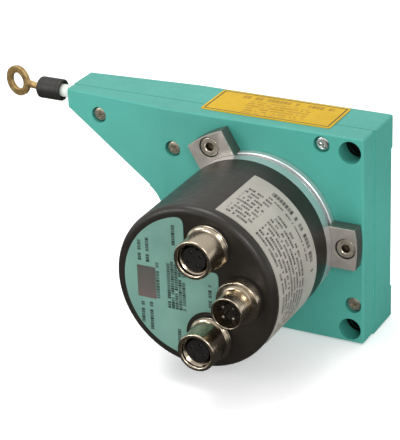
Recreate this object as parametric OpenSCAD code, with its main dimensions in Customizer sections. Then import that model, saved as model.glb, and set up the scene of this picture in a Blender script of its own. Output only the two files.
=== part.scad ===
// Draw wire encoder: a spring-returned measuring drum in a flat cast case with a
// wedge-shaped nose, read by a rotary encoder that three servo clamps hold on its face.
// Every piece is drawn lying on its back: x to the right, y up the case, z out of the
// mounting plane. stand() then turns it upright, so that the drum axis is the row's Y.
// The origin is where the drum axis meets the mounting plane. All sizes are millimetres.

/* [Case] */
// Half the side of the square part of the case
case_half = 40; // [40:0.5:46]
// Depth of the rear housing, from the mounting plane to the parting line
rear_depth = 16; // [15.5:0.5:20]
// Depth of the front cover, from the parting line to its face
front_depth = 9.5; // [9.5:0.5:12]
// Height of the mounting pads
pad_height = 1; // [0.5:0.1:2]
// Side of a mounting pad
pad_side = 12.5; // [11:0.5:14]
// Thickness of the rear wall
rear_wall = 2.5; // [2:0.1:3]
// Thickness of the front plate
front_plate = 5; // [5:0.1:6]
// Rounding of the outer edges
edge_r = 0.7; // [0.4:0.1:2]
// Wall between the drum chamber and the outside
chamber_wall = 1.8; // [1.8:0.1:2.4]
// How far the cover stands inside the housing at the side and below
cover_step = 0.4; // [0:0.1:0.8]
// Thickness of the gasket in the parting line
gasket_t = 0.3; // [0.2:0.1:0.6]

/* [Nose] */
// Reach of the nose from the drum axis to its tip
nose_reach = 81; // [76:1:95]
// Height of the nose at its tip
nose_tip_height = 7.4; // [7:0.1:10]
// Depth that the nose loses in front, towards its tip
nose_front_taper = 4; // [0:0.5:4.5]
// Depth that the nose loses behind, towards its tip
nose_rear_taper = 3.5; // [0:0.5:6]
// Length of the nose that tapers in depth
nose_taper_length = 44; // [30:1:50]
// Height of the corner where the sloping edge meets the side
nose_corner_y = 4; // [0:0.5:8]
// Fillet in that corner
nose_fillet_r = 14; // [8:1:20]

/* [Wire] */
// Length of wire that can be drawn out
measuring_length = 2000; // [500:100:2000]
// Diameter of the coated wire
wire_d = 0.8; // [0.5:0.05:0.85]
// Pitch of the drum's grooves
wire_pitch = 0.95; // [0.9:0.05:1]
// Outer radius of the nozzle
nozzle_r = 2.4; // [1.8:0.1:2.5]
// Length of the nozzle outside the case
nozzle_length = 7; // [5:0.5:12]
// Radius of the nozzle's collar in the case
nozzle_collar_r = 2.8; // [2.6:0.1:3]
// Bore of the nozzle
nozzle_bore_r = 0.8; // [0.7:0.05:1]

/* [Wire end] */
// Radius of the rubber stopper
stopper_r = 4.1; // [3.6:0.1:5]
// Length of the rubber stopper
stopper_length = 10.4; // [9:0.2:16]
// Depth of the stopper's mouth, which takes the nozzle's end
stopper_mouth = 2.4; // [1.5:0.1:4]
// Radius of the crimped ferrule
ferrule_r = 1.3; // [0.9:0.1:1.8]
// Outer radius of the ring
ring_outer_r = 5.9; // [5:0.1:8]
// Radius of the ring's hole
ring_hole_r = 3.25; // [2.5:0.05:4]
// Thickness of the ring
ring_t = 1.6; // [1:0.1:2.5]
// Angle at which the ring leans back on the ferrule
ring_lean = 14; // [0:1:25]

/* [Drum] */
// Gap between the drum's lips and the chamber
chamber_gap = 0.6; // [0.4:0.1:1]
// Height of the lips over the grooves
lip_height = 1.4; // [1.1:0.1:1.5]
// Thickness of the drum's rim under the grooves
rim_t = 2.8; // [2:0.1:3.5]
// Thickness of the drum's web and hub disc
web_t = 2; // [1.5:0.1:2.4]
// Thickness of a lip
lip_t = 1.3; // [1:0.1:1.6]
// Width of the drum
drum_width = 14.3; // [14:0.1:15]

/* [Shaft and bearings] */
// Radius of the drum shaft
shaft_r = 6; // [5.5:0.1:6.5]
// Outer radius of a drum bearing
bearing_outer_r = 10.5; // [10.5:0.1:11]
// Width of a drum bearing
bearing_width = 5; // [4.5:0.1:5]
// Radius of a ball of the drum bearings
ball_r = 1.5; // [1.2:0.1:1.5]
// Balls in a drum bearing
ball_count = 10; // [6:1:12]
// Running gap between a ball and its races
race_gap = 0.03; // [0.02:0.01:0.05]
// Wall of the bosses round the drum bearings
boss_wall = 2.2; // [1.5:0.1:2.4]

/* [Power spring] */
// Thickness of the spring strip
strip_t = 0.5; // [0.3:0.1:0.7]
// Width of the spring strip
strip_width = 8.6; // [6:0.2:9]
// Coils of the spring
spring_coils = 8; // [5:1:11]
// Thickness of the slip disc behind the spring
liner_t = 0.4; // [0.2:0.1:0.6]

/* [Encoder] */
// Radius of the encoder's cover
enc_r = 30; // [30:0.5:32]
// Length of the flange in front of the case
flange_length = 10; // [8.5:0.5:11]
// Length of the cover
cover_length = 43.2; // [42:0.1:60]
// Rounding of the cover's front edge
cover_edge_r = 2.4; // [1:0.2:4]
// Wall of the cover's side
cover_wall = 2; // [1.6:0.1:2.2]
// Wall of the cover's end
cover_end = 3; // [2.5:0.1:4]
// Radius of the flange's lip
flange_lip_r = 29.6; // [28.5:0.1:29.7]
// Length of the flange's lip
flange_lip = 3; // [2.6:0.1:3.2]
// Width of the clamp groove
groove_width = 2.6; // [2.2:0.1:2.8]
// Depth of the clamp groove under the lip
groove_depth = 2; // [1.5:0.1:2.5]
// Radius of the spigot that centres the flange in the case
spigot_r = 25; // [24:0.1:25]
// Depth of that spigot
spigot_depth = 2.6; // [2:0.1:2.6]
// Radius of the encoder's shaft
enc_shaft_r = 3; // [2.5:0.1:3.4]
// Depth of the encoder's shaft in the drum shaft
enc_shaft_engage = 11; // [8:0.5:13]

/* [Servo clamps] */
// Radius of the circle of the clamp screws
clamp_circle_r = 34.9; // [34.7:0.1:35]
// Outer radius of a clamp
clamp_outer_r = 39.3; // [39.2:0.1:39.6]
// Width of a clamp
clamp_width = 15.6; // [13:0.2:18]
// Thickness of a clamp
clamp_t = 5.5; // [5.4:0.1:6]
// Radius of the clamp screw's head
clamp_head_r = 3.5; // [3:0.1:3.6]

/* [Mounting] */
// Distance from the edges of the case to a mounting hole
mount_inset = 5.6; // [5:0.1:6]
// Radius of a mounting hole
mount_hole_r = 2.25; // [1.6:0.05:2.3]
// Radius of a mounting hole's counterbore
mount_cbore_r = 4.2; // [3.4:0.1:4.3]
// Depth of that counterbore
mount_cbore_depth = 11; // [8:0.5:14]

/* [Connectors] */
// Radius of the circle of the connectors
port_circle_r = 18.3; // [17:0.1:19]
// Angle between two connectors
port_angle = 70; // [66:1:74]
// Length of a connector outside the cover
port_length = 12.2; // [10:0.2:16]
// Outer radius of a female shell
port_shell_r = 6.9; // [6.8:0.1:7.2]
// Radius inside a female shell's thread
port_bore_r = 5.4; // [5.3:0.05:5.5]
// Radius of a connector's base collar
port_collar_r = 8; // [7.5:0.1:8.3]
// Radius of the male shell's outer thread
power_shell_r = 6; // [5.8:0.05:6.05]
// Radius inside the male shell
power_bore_r = 5.1; // [5:0.05:5.2]

/* [Labels] */
// Length of the label on top
top_label_length = 50.5; // [30:0.5:60]
// Width of the label on top
top_label_width = 19.7; // [12:0.1:20]
// Thickness of the labels
label_t = 0.3; // [0.2:0.05:0.5]
// Width of the nameplate, along the encoder
nameplate_width = 30; // [20:1:34]
// Angle that the nameplate covers
nameplate_angle = 111; // [60:1:140]

/* [Hidden] */

$fn = 96;
tiny = 0.01;
// Gap of a seated fit, and of a part that clears its neighbour
fit_gap = 0.03;
clear_gap = 0.3;

// --- stations along the drum axis, measured out of the mounting plane ---
face_z = rear_depth + front_depth;
part_z = rear_depth;
inner_back = pad_height + rear_wall;
inner_front = face_z - front_plate;
chamber_r = case_half - chamber_wall;
lip_r = chamber_r - chamber_gap;
groove_floor_r = lip_r - lip_height;
wire_y = groove_floor_r + wire_d / 2;
wire_z = part_z;
turn_length = 2 * PI * wire_y;
rim_inner_r = groove_floor_r - rim_t;
drum_back = (inner_back + inner_front - drum_width) / 2;
drum_front = drum_back + drum_width;

// --- bearings, from the back to the front ---
rear_bearing_z = inner_back + 0.7;
front_bearing_z = face_z - spigot_depth - fit_gap - bearing_width;
ball_circle_r = (shaft_r + bearing_outer_r) / 2;
ring_step = (bearing_outer_r - shaft_r) * 0.28;
boss_r = bearing_outer_r + boss_wall;
shoulder_t = 1.3;
hub_front = front_bearing_z - shoulder_t - 0.7;
hub_back = rear_bearing_z + bearing_width + 0.6;
hub_r = shaft_r + 2.4;
dish_inner_r = boss_r + 0.9;
clip_t = 1;
clip_r = shaft_r + 1.6;

// --- encoder ---
flange_front = face_z + flange_length;
cover_front = flange_front + cover_length;
groove_back = face_z + flange_lip;
groove_front = groove_back + groove_width;
cover_inner_r = enc_r - cover_wall;
enc_bearing_r = 6.5;
enc_bearing_width = 5;
enc_bearing_z = [face_z + 0.6, flange_front + 2.4];
enc_ball_r = 1.05;
enc_ball_circle_r = (enc_shaft_r + enc_bearing_r) / 2;
enc_ring_step = (enc_bearing_r - enc_shaft_r) * 0.26;
enc_hub_r = enc_bearing_r + 2.5;
enc_hub_front = enc_bearing_z[1] + enc_bearing_width;
disc_z = enc_hub_front + 3.6;
enc_shaft_front = disc_z + 4;
board_t = 1.6;
main_board_z = disc_z + 9;
interface_board_z = cover_front - cover_end - 8;
post_circle_r = 21.5;
post_r = 1.6;
seat_r = cover_inner_r - fit_gap;
seat_front = flange_front + 5;
seal_r = 0.8;

// --- wire path, as distances from the drum axis along the wire ---
nozzle_inside = 8;
collar_at = 3;
collar_width = 2;
nozzle_end = nose_reach + nozzle_length;
stopper_start = nozzle_end + 0.2 - stopper_mouth;
stopper_end = stopper_start + stopper_length;
knuckle_at = stopper_end + 1.2;
knuckle_r = ferrule_r + 0.1;
ferrule_start = stopper_start + stopper_mouth + 2;
ferrule_end = knuckle_at - knuckle_r - 0.05;
wire_end_at = ferrule_start + 2.2;
ring_centre = knuckle_r + 2.9 + ring_outer_r;

// --- drum grooves ---
full_turns = floor(measuring_length / turn_length);
part_turn = 360 * (measuring_length / turn_length - full_turns);
// the wire is anchored in one more groove, behind its turns
groove_first = wire_z - wire_pitch * (full_turns + 1);
groove_last = wire_z + wire_pitch * floor((drum_front - lip_t - wire_z) / wire_pitch - 0.5);

// --- power spring, between the arbor and the post in the drum ---
spring_inner_r = boss_r + clear_gap;
spring_post_r = 1;
post_at = rim_inner_r - 0.6 - spring_post_r;
spring_step = (post_at - spring_post_r - 0.2 - strip_t - spring_inner_r) / spring_coils;

// --- boards, code disc and connectors ---
board_r = cover_inner_r - 1.5;
disc_r = 16;
disc_hub_r = enc_shaft_r + 1.6;
disc_t = 1;
disc_rim = 3.4;
scan_side = 12;
scan_length = 11;
scan_base = 3;
scan_slot = 1;
post_angles = [30, 180 - 30, 180 + 30, -30];
contact_circle_r = 2.6;
contact_r = 0.5;
contact_angles = [45, 135, 225, 315];
insert_r = port_bore_r - 1.2;
insert_recess = 1.6;
power_recess = 7;
shell_tail = cover_end + 3;
contact_bore = shell_tail + port_length + 2;
nut_r = 8.2;
nut_t = 2.2;
seal_t = 0.8;
window_at = [-17.9, -0.7];
window_size = [7.2, 12.1];

// --- fasteners ---
case_screw_r = 1.5;
case_screw_reach = 8;
case_head_r = 2.75;
case_head_h = 1.9;
case_cbore_r = 3.1;
case_cbore_depth = 2.6;
clamp_screw_r = 2;
clamp_head_h = 2.8;
clamp_cbore_r = clamp_head_r + 0.4;
clamp_floor = clamp_t - clamp_head_h - 0.5;
// Places of the case screws: the visible ones, then those under the encoder
case_screw_at = [[-nose_reach + 14, wire_y - 4.6], [-case_half + 4.9, case_half - 15.3],
    [case_half - 16.3, case_half - 4.2], [case_half - 4.4, -case_half + 15.5],
    [-case_half + 14.7, -case_half + 4.4], [-case_half + 4.4, -case_half + 15.5]];
mount_at = case_half - mount_inset;
mount_holes = [[mount_at, mount_at], [mount_at, -mount_at], [-mount_at, -mount_at]];
port_angles = [port_angle, -port_angle];
all_ports = [0, port_angle, -port_angle];

// Turns a piece that is drawn lying on its back upright
module stand() { rotate([90, 0, 0]) children(); }
// Places its children at a height over the mounting plane
module at(z) { translate([0, 0, z]) children(); }
// A disc or a ring on the drum axis
module ring(z0, z1, r_out, r_in = 0) {
    at(z0) difference() {
        cylinder(h = z1 - z0, r = r_out);
        if (r_in > 0) at(-1) cylinder(h = z1 - z0 + 2, r = r_in);
    }
}
// Copies its children to each place of a list
module at_each(places) { for (p = places) translate([p[0], p[1], 0]) children(); }
// Copies its children round the axis
module around(angles, r) {
    for (a = angles) rotate([0, 0, a]) translate([r, 0, 0]) children();
}
// Lays its children along the wire, which leaves towards -x
module along_wire(x) { translate([x, wire_y, wire_z]) rotate([0, -90, 0]) children(); }
// The round track that a ball set cuts into its races
module ball_track(z, circle_r, r) {
    at(z) rotate_extrude() translate([circle_r, 0]) circle(r = r, $fn = 48);
}

// --- outline of the case ---
tip_low_y = case_half - nose_tip_height;
slope_drop = tip_low_y - nose_corner_y;
slope_run = nose_reach - case_half;
slope_angle = atan2(slope_drop, slope_run);
// Height of the sloping edge at a place along the nose
function slope_y(x) = nose_corner_y - (x + case_half) * tan(slope_angle);
fillet_reach = nose_fillet_r * tan((90 - slope_angle) / 2);
fillet_low = [-case_half, nose_corner_y - fillet_reach];
fillet_high = [-case_half, nose_corner_y] + fillet_reach * [-cos(slope_angle), sin(slope_angle)];
taper_x = nose_taper_length - nose_reach;

// A square with rounded corners
module soft_square(x0, x1, y0, y1, r) {
    translate([x0 + r, y0]) square([x1 - x0 - 2 * r, y1 - y0]);
    translate([x0, y0 + r]) square([x1 - x0, y1 - y0 - 2 * r]);
    for (x = [x0 + r, x1 - r], y = [y0 + r, y1 - r]) translate([x, y]) circle(r = r, $fn = 32);
}
// Fills the corner between the sloping edge and the side, for the fillet to cut
module corner_web() {
    polygon([fillet_low, fillet_high, [0, nose_corner_y + 6], [0, fillet_low[1]]]);
}
// The round that makes the concave fillet; it bites a little past both edges
module fillet_round(inset = 0) {
    bite = 0.03;
    translate(fillet_low - [nose_fillet_r - bite, 0]) circle(r = nose_fillet_r + inset);
}
// The whole outline, pulled in by an inset
module case_outline(inset = 0) {
    drop = inset / cos(slope_angle);
    soft_square(-case_half + inset, case_half - inset, -case_half + inset, case_half - inset, edge_r);
    difference() {
        union() {
            polygon([[-nose_reach + inset, case_half - inset], [-nose_reach + inset, tip_low_y + drop],
                [-case_half, nose_corner_y + drop], [0, nose_corner_y + drop], [0, case_half - inset]]);
            corner_web();
        }
        fillet_round(inset);
    }
}
// The case seen from above: the nose tapers in depth
module case_side(z0, z1, back, front) {
    rotate([90, 0, 0]) linear_extrude(height = 4 * case_half, center = true)
        polygon([[case_half + 1, z0], [taper_x, z0], [-nose_reach - 1, back],
            [-nose_reach - 1, front], [taper_x, z1], [case_half + 1, z1]]);
}
// The hollow of the nose beside the drum chamber
module nose_core() {
    low = 3.2 / cos(slope_angle);
    x0 = -nose_reach + 20;
    x1 = -case_half - 2;
    difference() {
        polygon([[x0, case_half - 6.5], [x0, slope_y(x0) + low], [x1, slope_y(x1) + low],
            [-case_half + 12, slope_y(x1) + low], [-case_half + 22, case_half - 6.5]]);
        circle(r = chamber_r + 2);
        translate(case_screw_at[1]) circle(r = 4.4);
    }
}
// What the wire and the nozzle need in both halves of the case
module nozzle_seat() {
    along_wire(0) cylinder(h = nose_reach + 1, r = 1.6);
    along_wire(-nose_reach + nozzle_inside + fit_gap) {
        cylinder(h = nozzle_inside + 1, r = nozzle_r + fit_gap);
        at(collar_at) cylinder(h = collar_width + 2 * fit_gap, r = nozzle_collar_r + fit_gap);
    }
}
// The drum chamber
module chamber() { ring(inner_back, inner_front, chamber_r); }

// A block with its vertical edges and its front edges rounded
module faced_block(x0, x1, y0, y1, z0, z1, r) {
    hull() {
        for (x = [x0 + r, x1 - r], y = [y0 + r, y1 - r]) {
            translate([x, y, z1 - r]) sphere(r = r, $fn = 24);
            translate([x, y, z0]) cylinder(h = tiny, r = r, $fn = 24);
        }
        translate([x0 + r, y0 + r, z0]) cube([x1 - x0 - 2 * r, y1 - y0 - 2 * r, z1 - z0]);
    }
}
// The nose of the front cover, with its front edges rounded
module faced_nose(z0, r) {
    x_tip = -nose_reach + r;
    x_end = -case_half + 8;
    lift = r / cos(slope_angle);
    low = [[x_tip, slope_y(x_tip) + lift, front_at(x_tip) - r],
        [x_end, slope_y(x_end) + lift, face_z - r], [taper_x, slope_y(taper_x) + lift, face_z - r]];
    hull() {
        for (p = low, y = [p[1], case_half - r]) {
            translate([p[0], y, p[2]]) sphere(r = r, $fn = 24);
            translate([p[0], y, z0]) cylinder(h = tiny, r = r, $fn = 24);
        }
    }
}
// Front of the tapered nose over a place along it
function front_at(x) = face_z - max(0, taper_x - x) * nose_front_taper / nose_taper_length;

module rear_housing() {
    cbore_z = face_z - mount_cbore_depth;
    color([0.27, 0.66, 0.58]) stand() difference() {
        union() {
            intersection() {
                at(pad_height) linear_extrude(height = part_z - pad_height) case_outline();
                case_side(pad_height, part_z, nose_rear_taper, part_z);
            }
            // pads round the lower mounting holes
            linear_extrude(height = pad_height + tiny) intersection() {
                case_outline();
                for (x = [-1, 1]) translate([x * (case_half - pad_side / 2), pad_side / 2 - case_half])
                    square(pad_side, center = true);
            }
            // rail along the top, which runs out towards the tip of the nose
            intersection() {
                linear_extrude(height = part_z) intersection() {
                    case_outline();
                    translate([-nose_reach, case_half - pad_side]) square([nose_reach + case_half, pad_side]);
                }
                case_side(0, part_z, nose_rear_taper, part_z);
            }
            ring(0, pad_height + tiny, boss_r + 3);
        }
        difference() {
            chamber();
            // arbor of the power spring, which holds the rear bearing
            at(inner_back - 1) cylinder(h = rear_bearing_z + bearing_width - inner_back + 1.3, r = boss_r);
        }
        at(inner_back) linear_extrude(height = part_z) nose_core();
        ring(rear_bearing_z, part_z + 1, bearing_outer_r + fit_gap);
        ring(inner_back - 0.6, part_z, bearing_outer_r - 1.2);
        nozzle_seat();
        at_each(mount_holes) at(-1) cylinder(h = part_z + 2, r = mount_hole_r);
        at_each(mount_holes) at(cbore_z) cylinder(h = part_z, r = mount_cbore_r);
        at_each(case_screw_at) at(part_z - case_screw_reach - 1)
            cylinder(h = case_screw_reach + 2, r = case_screw_r);
    }
}

module front_cover() {
    z0 = part_z + gasket_t;
    color([0.33, 0.69, 0.61]) stand() difference() {
        union() {
            faced_block(-case_half, case_half - cover_step, -case_half + cover_step, case_half,
                z0, face_z, edge_r);
            faced_nose(z0, edge_r);
            intersection() {
                at(z0) linear_extrude(height = face_z - z0) difference() {
                    corner_web();
                    fillet_round();
                }
                case_side(z0, face_z, z0, face_z - nose_front_taper);
            }
        }
        difference() {
            chamber();
            // boss that holds the front bearing
            ring(front_bearing_z - shoulder_t, face_z, boss_r);
        }
        difference() {
            at(z0 - 1) linear_extrude(height = face_z - z0 - 4.5) nose_core();
            translate([-nose_reach, 0, face_z - 8]) cube([nose_reach - case_half - 2, case_half, 8]);
        }
        ring(face_z - spigot_depth - fit_gap, face_z + 1, spigot_r + fit_gap);
        ring(front_bearing_z, face_z, bearing_outer_r + fit_gap);
        ring(front_bearing_z - shoulder_t - 1, face_z, bearing_outer_r - 1.2);
        nozzle_seat();
        at_each(mount_holes) at(z0 - 1) cylinder(h = face_z, r = mount_cbore_r);
        at_each(case_screw_at) at(z0 - 1) cylinder(h = face_z, r = case_screw_r + 0.1);
        for (p = case_screw_at)
            translate([p[0], p[1], front_at(p[0]) - case_cbore_depth])
                cylinder(h = front_depth, r = case_cbore_r);
        around([0, 120, 240], clamp_circle_r)
            at(face_z - 4.6) cylinder(h = 6, r = clamp_screw_r);
    }
}

module case_gasket() {
    color([0.2, 0.2, 0.2]) stand() difference() {
        at(part_z) linear_extrude(height = gasket_t) difference() {
            case_outline(0.3);
            circle(r = chamber_r + 0.4);
            nose_core();
            for (p = case_screw_at) translate(p) circle(r = case_screw_r + 0.1);
            for (p = mount_holes) translate(p) circle(r = mount_cbore_r + 0.1);
        }
        nozzle_seat();
    }
}

module case_screws() {
    color([0.62, 0.58, 0.5]) stand() for (p = case_screw_at) {
        z = front_at(p[0]) - case_cbore_depth;
        translate([p[0], p[1], 0]) difference() {
            union() {
                ring(part_z - case_screw_reach, z + tiny, case_screw_r - fit_gap);
                at(z) cylinder(h = case_head_h, r1 = case_head_r, r2 = case_head_r - 0.35);
            }
            for (a = [0, 90]) rotate([0, 0, a])
                translate([-1.5, -0.3, z + case_head_h - 1.1]) cube([3, 0.6, 2]);
        }
    }
}

module wire_nozzle() {
    end = nozzle_inside + nozzle_length;
    trumpet = nozzle_bore_r + 0.7;
    color([0.9, 0.9, 0.88]) stand() along_wire(-nose_reach + nozzle_inside) rotate_extrude()
        polygon([[nozzle_bore_r, 1.2], [trumpet, 0], [nozzle_r, 0], [nozzle_r, collar_at],
            [nozzle_collar_r, collar_at], [nozzle_collar_r, collar_at + collar_width],
            [nozzle_r, collar_at + collar_width], [nozzle_r, end - 0.6], [nozzle_r - 0.6, end],
            [trumpet, end], [nozzle_bore_r, end - 1.2]]);
}

// The wire from the drum to its crimp, straight through the nozzle
module wire_run() {
    color([0.75, 0.75, 0.73]) stand() along_wire(0)
        cylinder(h = wire_end_at - fit_gap, r = wire_d / 2, $fn = 24);
}

// The single layer of wire on the drum; the part turn ends where the wire leaves
module wire_winding() {
    color([0.75, 0.75, 0.73]) stand() {
        for (i = [1 : full_turns]) at(wire_z - i * wire_pitch) rotate_extrude()
            translate([wire_y, 0]) circle(r = wire_d / 2, $fn = 24);
        at(wire_z) rotate([0, 0, 90]) rotate_extrude(angle = -part_turn)
            translate([wire_y, 0]) circle(r = wire_d / 2, $fn = 24);
    }
}

// Grub screw that clamps the inner end of the wire in the first groove
module wire_anchor() {
    color([0.3, 0.3, 0.32]) stand() at(groove_first) rotate([0, 90, 0]) difference() {
        at(rim_inner_r + 0.3) cylinder(h = rim_t - 0.9, r = 1 - fit_gap, $fn = 32);
        at(rim_inner_r) cylinder(h = 1.2, r = 0.45, $fn = 6);
    }
}

module stopper_sleeve() {
    r = stopper_r;
    l = stopper_length;
    bore = ferrule_r + fit_gap;
    color([0.16, 0.15, 0.14]) stand() along_wire(-stopper_start) rotate_extrude()
        polygon([[r - 0.4, 0], [r, 0.4], [r, l - 1.6], [r - 0.35, l - 0.7], [r - 1.2, l],
            [bore, l], [bore, stopper_mouth + 2], [wire_d / 2 + 0.1, stopper_mouth + 2],
            [wire_d / 2 + 0.1, stopper_mouth], [nozzle_r + 0.7, stopper_mouth],
            [nozzle_r + 0.7, 0]]);
}

module crimp_ferrule() {
    color([0.62, 0.5, 0.28]) stand() along_wire(-ferrule_start) difference() {
        cylinder(h = ferrule_end - ferrule_start, r = ferrule_r);
        at(-1) cylinder(h = wire_end_at - ferrule_start + 1, r = wire_d / 2 + fit_gap);
    }
}

// Flat ring on a short shank, which leans back on a round knuckle
module ring_eyelet() {
    color([0.55, 0.42, 0.22]) stand() translate([-knuckle_at, wire_y, wire_z]) {
        rotate([0, -ring_lean, 0]) difference() {
            union() {
                at(-ring_t / 2) translate([-ring_centre, 0, 0]) cylinder(h = ring_t, r = ring_outer_r);
                at(-ring_t / 2) translate([-ring_centre + ring_hole_r + 0.8, -1.3, 0])
                    cube([ring_centre - ring_hole_r - 0.8, 2.6, ring_t]);
                rotate([0, -90, 0]) cylinder(h = 2.4, r = knuckle_r);
                sphere(r = knuckle_r);
            }
            translate([-ring_centre, 0, -ring_t]) cylinder(h = 2 * ring_t, r = ring_hole_r);
        }
    }
}

// Cup drum: grooved rim, web with lightening holes and a hub set back for the bearing boss
module measuring_drum() {
    web_back = drum_front - web_t;
    dish_r = dish_inner_r + 2;
    hole_circle_r = (dish_r + rim_inner_r) / 2;
    color([0.72, 0.73, 0.74]) stand() difference() {
        rotate_extrude() polygon([[shaft_r + fit_gap / 2, hub_back], [hub_r, hub_back],
            [hub_r, hub_front - web_t], [dish_r, hub_front - web_t], [dish_r, web_back],
            [rim_inner_r, web_back], [rim_inner_r, drum_back], [lip_r, drum_back],
            [lip_r, drum_back + lip_t - 0.5], [groove_floor_r + wire_d / 2, drum_back + lip_t],
            [groove_floor_r + wire_d / 2, drum_front - lip_t], [lip_r, drum_front - lip_t + 0.5],
            [lip_r, drum_front], [dish_inner_r, drum_front], [dish_inner_r, hub_front],
            [shaft_r + fit_gap / 2, hub_front]]);
        for (z = [groove_first : wire_pitch : groove_last + tiny]) at(z) rotate_extrude()
            translate([wire_y, 0]) circle(r = wire_d / 2 + 0.02, $fn = 24);
        around([for (i = [0 : 5]) 60 * i], hole_circle_r)
            at(web_back - 1) cylinder(h = web_t + 2, r = (rim_inner_r - dish_r) / 2 - 2.6);
        rotate([0, 0, 90]) translate([post_at, 0, web_back - 1])
            cylinder(h = web_t + 2, r = spring_post_r);
        at(groove_first) rotate([0, 90, 0]) cylinder(h = lip_r + 1, r = 1, $fn = 32);
    }
}

// Shaft with a shoulder, a clip groove and a blind bore with a flat for the encoder's shaft
module drum_shaft() {
    z0 = rear_bearing_z + 0.1;
    z1 = front_bearing_z + bearing_width - 0.2;
    collar = rear_bearing_z + bearing_width;
    color([0.78, 0.78, 0.78]) stand() difference() {
        union() {
            ring(z0, z1, shaft_r - fit_gap / 2);
            ring(collar, hub_back, shaft_r + 1.2);
        }
        difference() {
            ring(hub_front, hub_front + clip_t, shaft_r + 1);
            ring(hub_front - 1, hub_front + clip_t + 1, shaft_r - 0.5);
        }
        at(z1 - enc_shaft_engage - 0.4) linear_extrude(height = enc_shaft_engage + 2)
            driving_section(enc_shaft_r + fit_gap);
    }
}
// Round section with one flat, which turns the drum shaft and the encoder together
module driving_section(r) {
    intersection() {
        circle(r = r);
        translate([-2 * r, -2 * r]) square([3 * r - 0.6, 4 * r]);
    }
}

module drum_clip() {
    color([0.35, 0.35, 0.37]) stand() at(hub_front + fit_gap)
        linear_extrude(height = clip_t - 2 * fit_gap) difference() {
            circle(r = clip_r);
            circle(r = shaft_r - 0.5 + fit_gap);
            translate([0, -1.6]) square([clip_r + 1, 3.2]);
        }
}

// Conical washer that preloads the front bearing
module preload_washer() {
    z0 = hub_front + clip_t;
    color([0.6, 0.6, 0.62]) stand() rotate_extrude() polygon([[shaft_r + 0.05, z0 + 0.05],
        [shaft_r + 0.6, z0], [shaft_r + 1.35, front_bearing_z - 0.35],
        [shaft_r + 1.3, front_bearing_z - 0.02], [shaft_r + 0.4, front_bearing_z - 0.02]]);
}

// Races of a ball bearing, with the track of the balls
module outer_race(z, w, r_out, step, circle_r, b) {
    color([0.7, 0.71, 0.73]) stand() difference() {
        ring(z, z + w, r_out, r_out - step);
        ball_track(z + w / 2, circle_r, b + race_gap);
    }
}
module inner_race(z, w, r_in, step, circle_r, b) {
    color([0.7, 0.71, 0.73]) stand() difference() {
        ring(z, z + w, r_in + step, r_in);
        ball_track(z + w / 2, circle_r, b + race_gap);
    }
}
module balls(z, w, circle_r, b, count) {
    color([0.85, 0.85, 0.86]) stand() around([for (i = [1 : count]) i * 360 / count], circle_r)
        at(z + w / 2) sphere(r = b, $fn = 32);
}
module rear_bearing_outer() {
    outer_race(rear_bearing_z, bearing_width, bearing_outer_r, ring_step, ball_circle_r, ball_r);
}
module rear_bearing_inner() {
    inner_race(rear_bearing_z, bearing_width, shaft_r, ring_step, ball_circle_r, ball_r);
}
module front_bearing_outer() {
    outer_race(front_bearing_z, bearing_width, bearing_outer_r, ring_step, ball_circle_r, ball_r);
}
module front_bearing_inner() {
    inner_race(front_bearing_z, bearing_width, shaft_r, ring_step, ball_circle_r, ball_r);
}
module drum_bearing_balls() {
    for (z = [rear_bearing_z, front_bearing_z])
        balls(z, bearing_width, ball_circle_r, ball_r, ball_count);
}

// Flat spiral strip between the arbor and the post in the drum
function spiral_point(a, grow) = let (r = spring_inner_r + grow + a / 360 * spring_step)
    [r * cos(a), r * sin(a)];
module power_spring() {
    sweep = 360 * spring_coils;
    turn = 15;
    color([0.45, 0.47, 0.52]) stand() at(inner_back + liner_t + 0.3) linear_extrude(height = strip_width)
        polygon(concat([for (a = [0 : turn : sweep]) spiral_point(a, 0)],
            [for (a = [sweep : -turn : 0]) spiral_point(a, strip_t)]));
}
module spring_liner() {
    color([0.86, 0.85, 0.8]) stand()
        ring(inner_back, inner_back + liner_t, rim_inner_r - 0.5, boss_r + 0.1);
}
module spring_post() {
    color([0.65, 0.65, 0.67]) stand() rotate([0, 0, 90]) translate([post_at, 0, 0])
        ring(drum_back + 0.4, drum_front, spring_post_r - fit_gap / 2);
}

// --- encoder ---
module encoder_flange() {
    z0 = face_z - spigot_depth;
    pocket_z = flange_front - 1.4;
    color([0.8, 0.81, 0.82]) stand() difference() {
        rotate_extrude() polygon([[5, z0], [spigot_r, z0], [spigot_r, face_z],
            [flange_lip_r - 0.3, face_z], [flange_lip_r, face_z + 0.3], [flange_lip_r, groove_back],
            [flange_lip_r - groove_depth, groove_back], [flange_lip_r - groove_depth, groove_front],
            [enc_r - 0.3, groove_front],
            [enc_r - 0.1, groove_front + 0.2], [enc_r - 0.1, flange_front], [seat_r, flange_front],
            [seat_r, seat_front], [seat_r - 3, seat_front], [seat_r - 3, pocket_z],
            [enc_hub_r, pocket_z], [enc_hub_r, enc_hub_front], [5, enc_hub_front]]);
        ring(z0 - 1, z0 + 1.5, bearing_outer_r - 1.2);
        ring(enc_bearing_z[0], enc_bearing_z[0] + enc_bearing_width, enc_bearing_r + fit_gap);
        ring(z0 - 1, enc_bearing_z[0] + 1, enc_bearing_r + fit_gap);
        ring(enc_bearing_z[1], enc_hub_front + 1, enc_bearing_r + fit_gap);
        at(flange_front + 2.6) rotate_extrude() translate([seat_r, 0]) circle(r = seal_r, $fn = 32);
        around(post_angles, post_circle_r) at(pocket_z - 4) cylinder(h = 6, r = 1, $fn = 32);
    }
}
module cover_seal() {
    color([0.1, 0.1, 0.1]) stand() at(flange_front + 2.6) intersection() {
        rotate_extrude() translate([seat_r, 0]) circle(r = seal_r - fit_gap, $fn = 32);
        at(-2) cylinder(h = 4, r = cover_inner_r - 0.01);
    }
}
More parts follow.
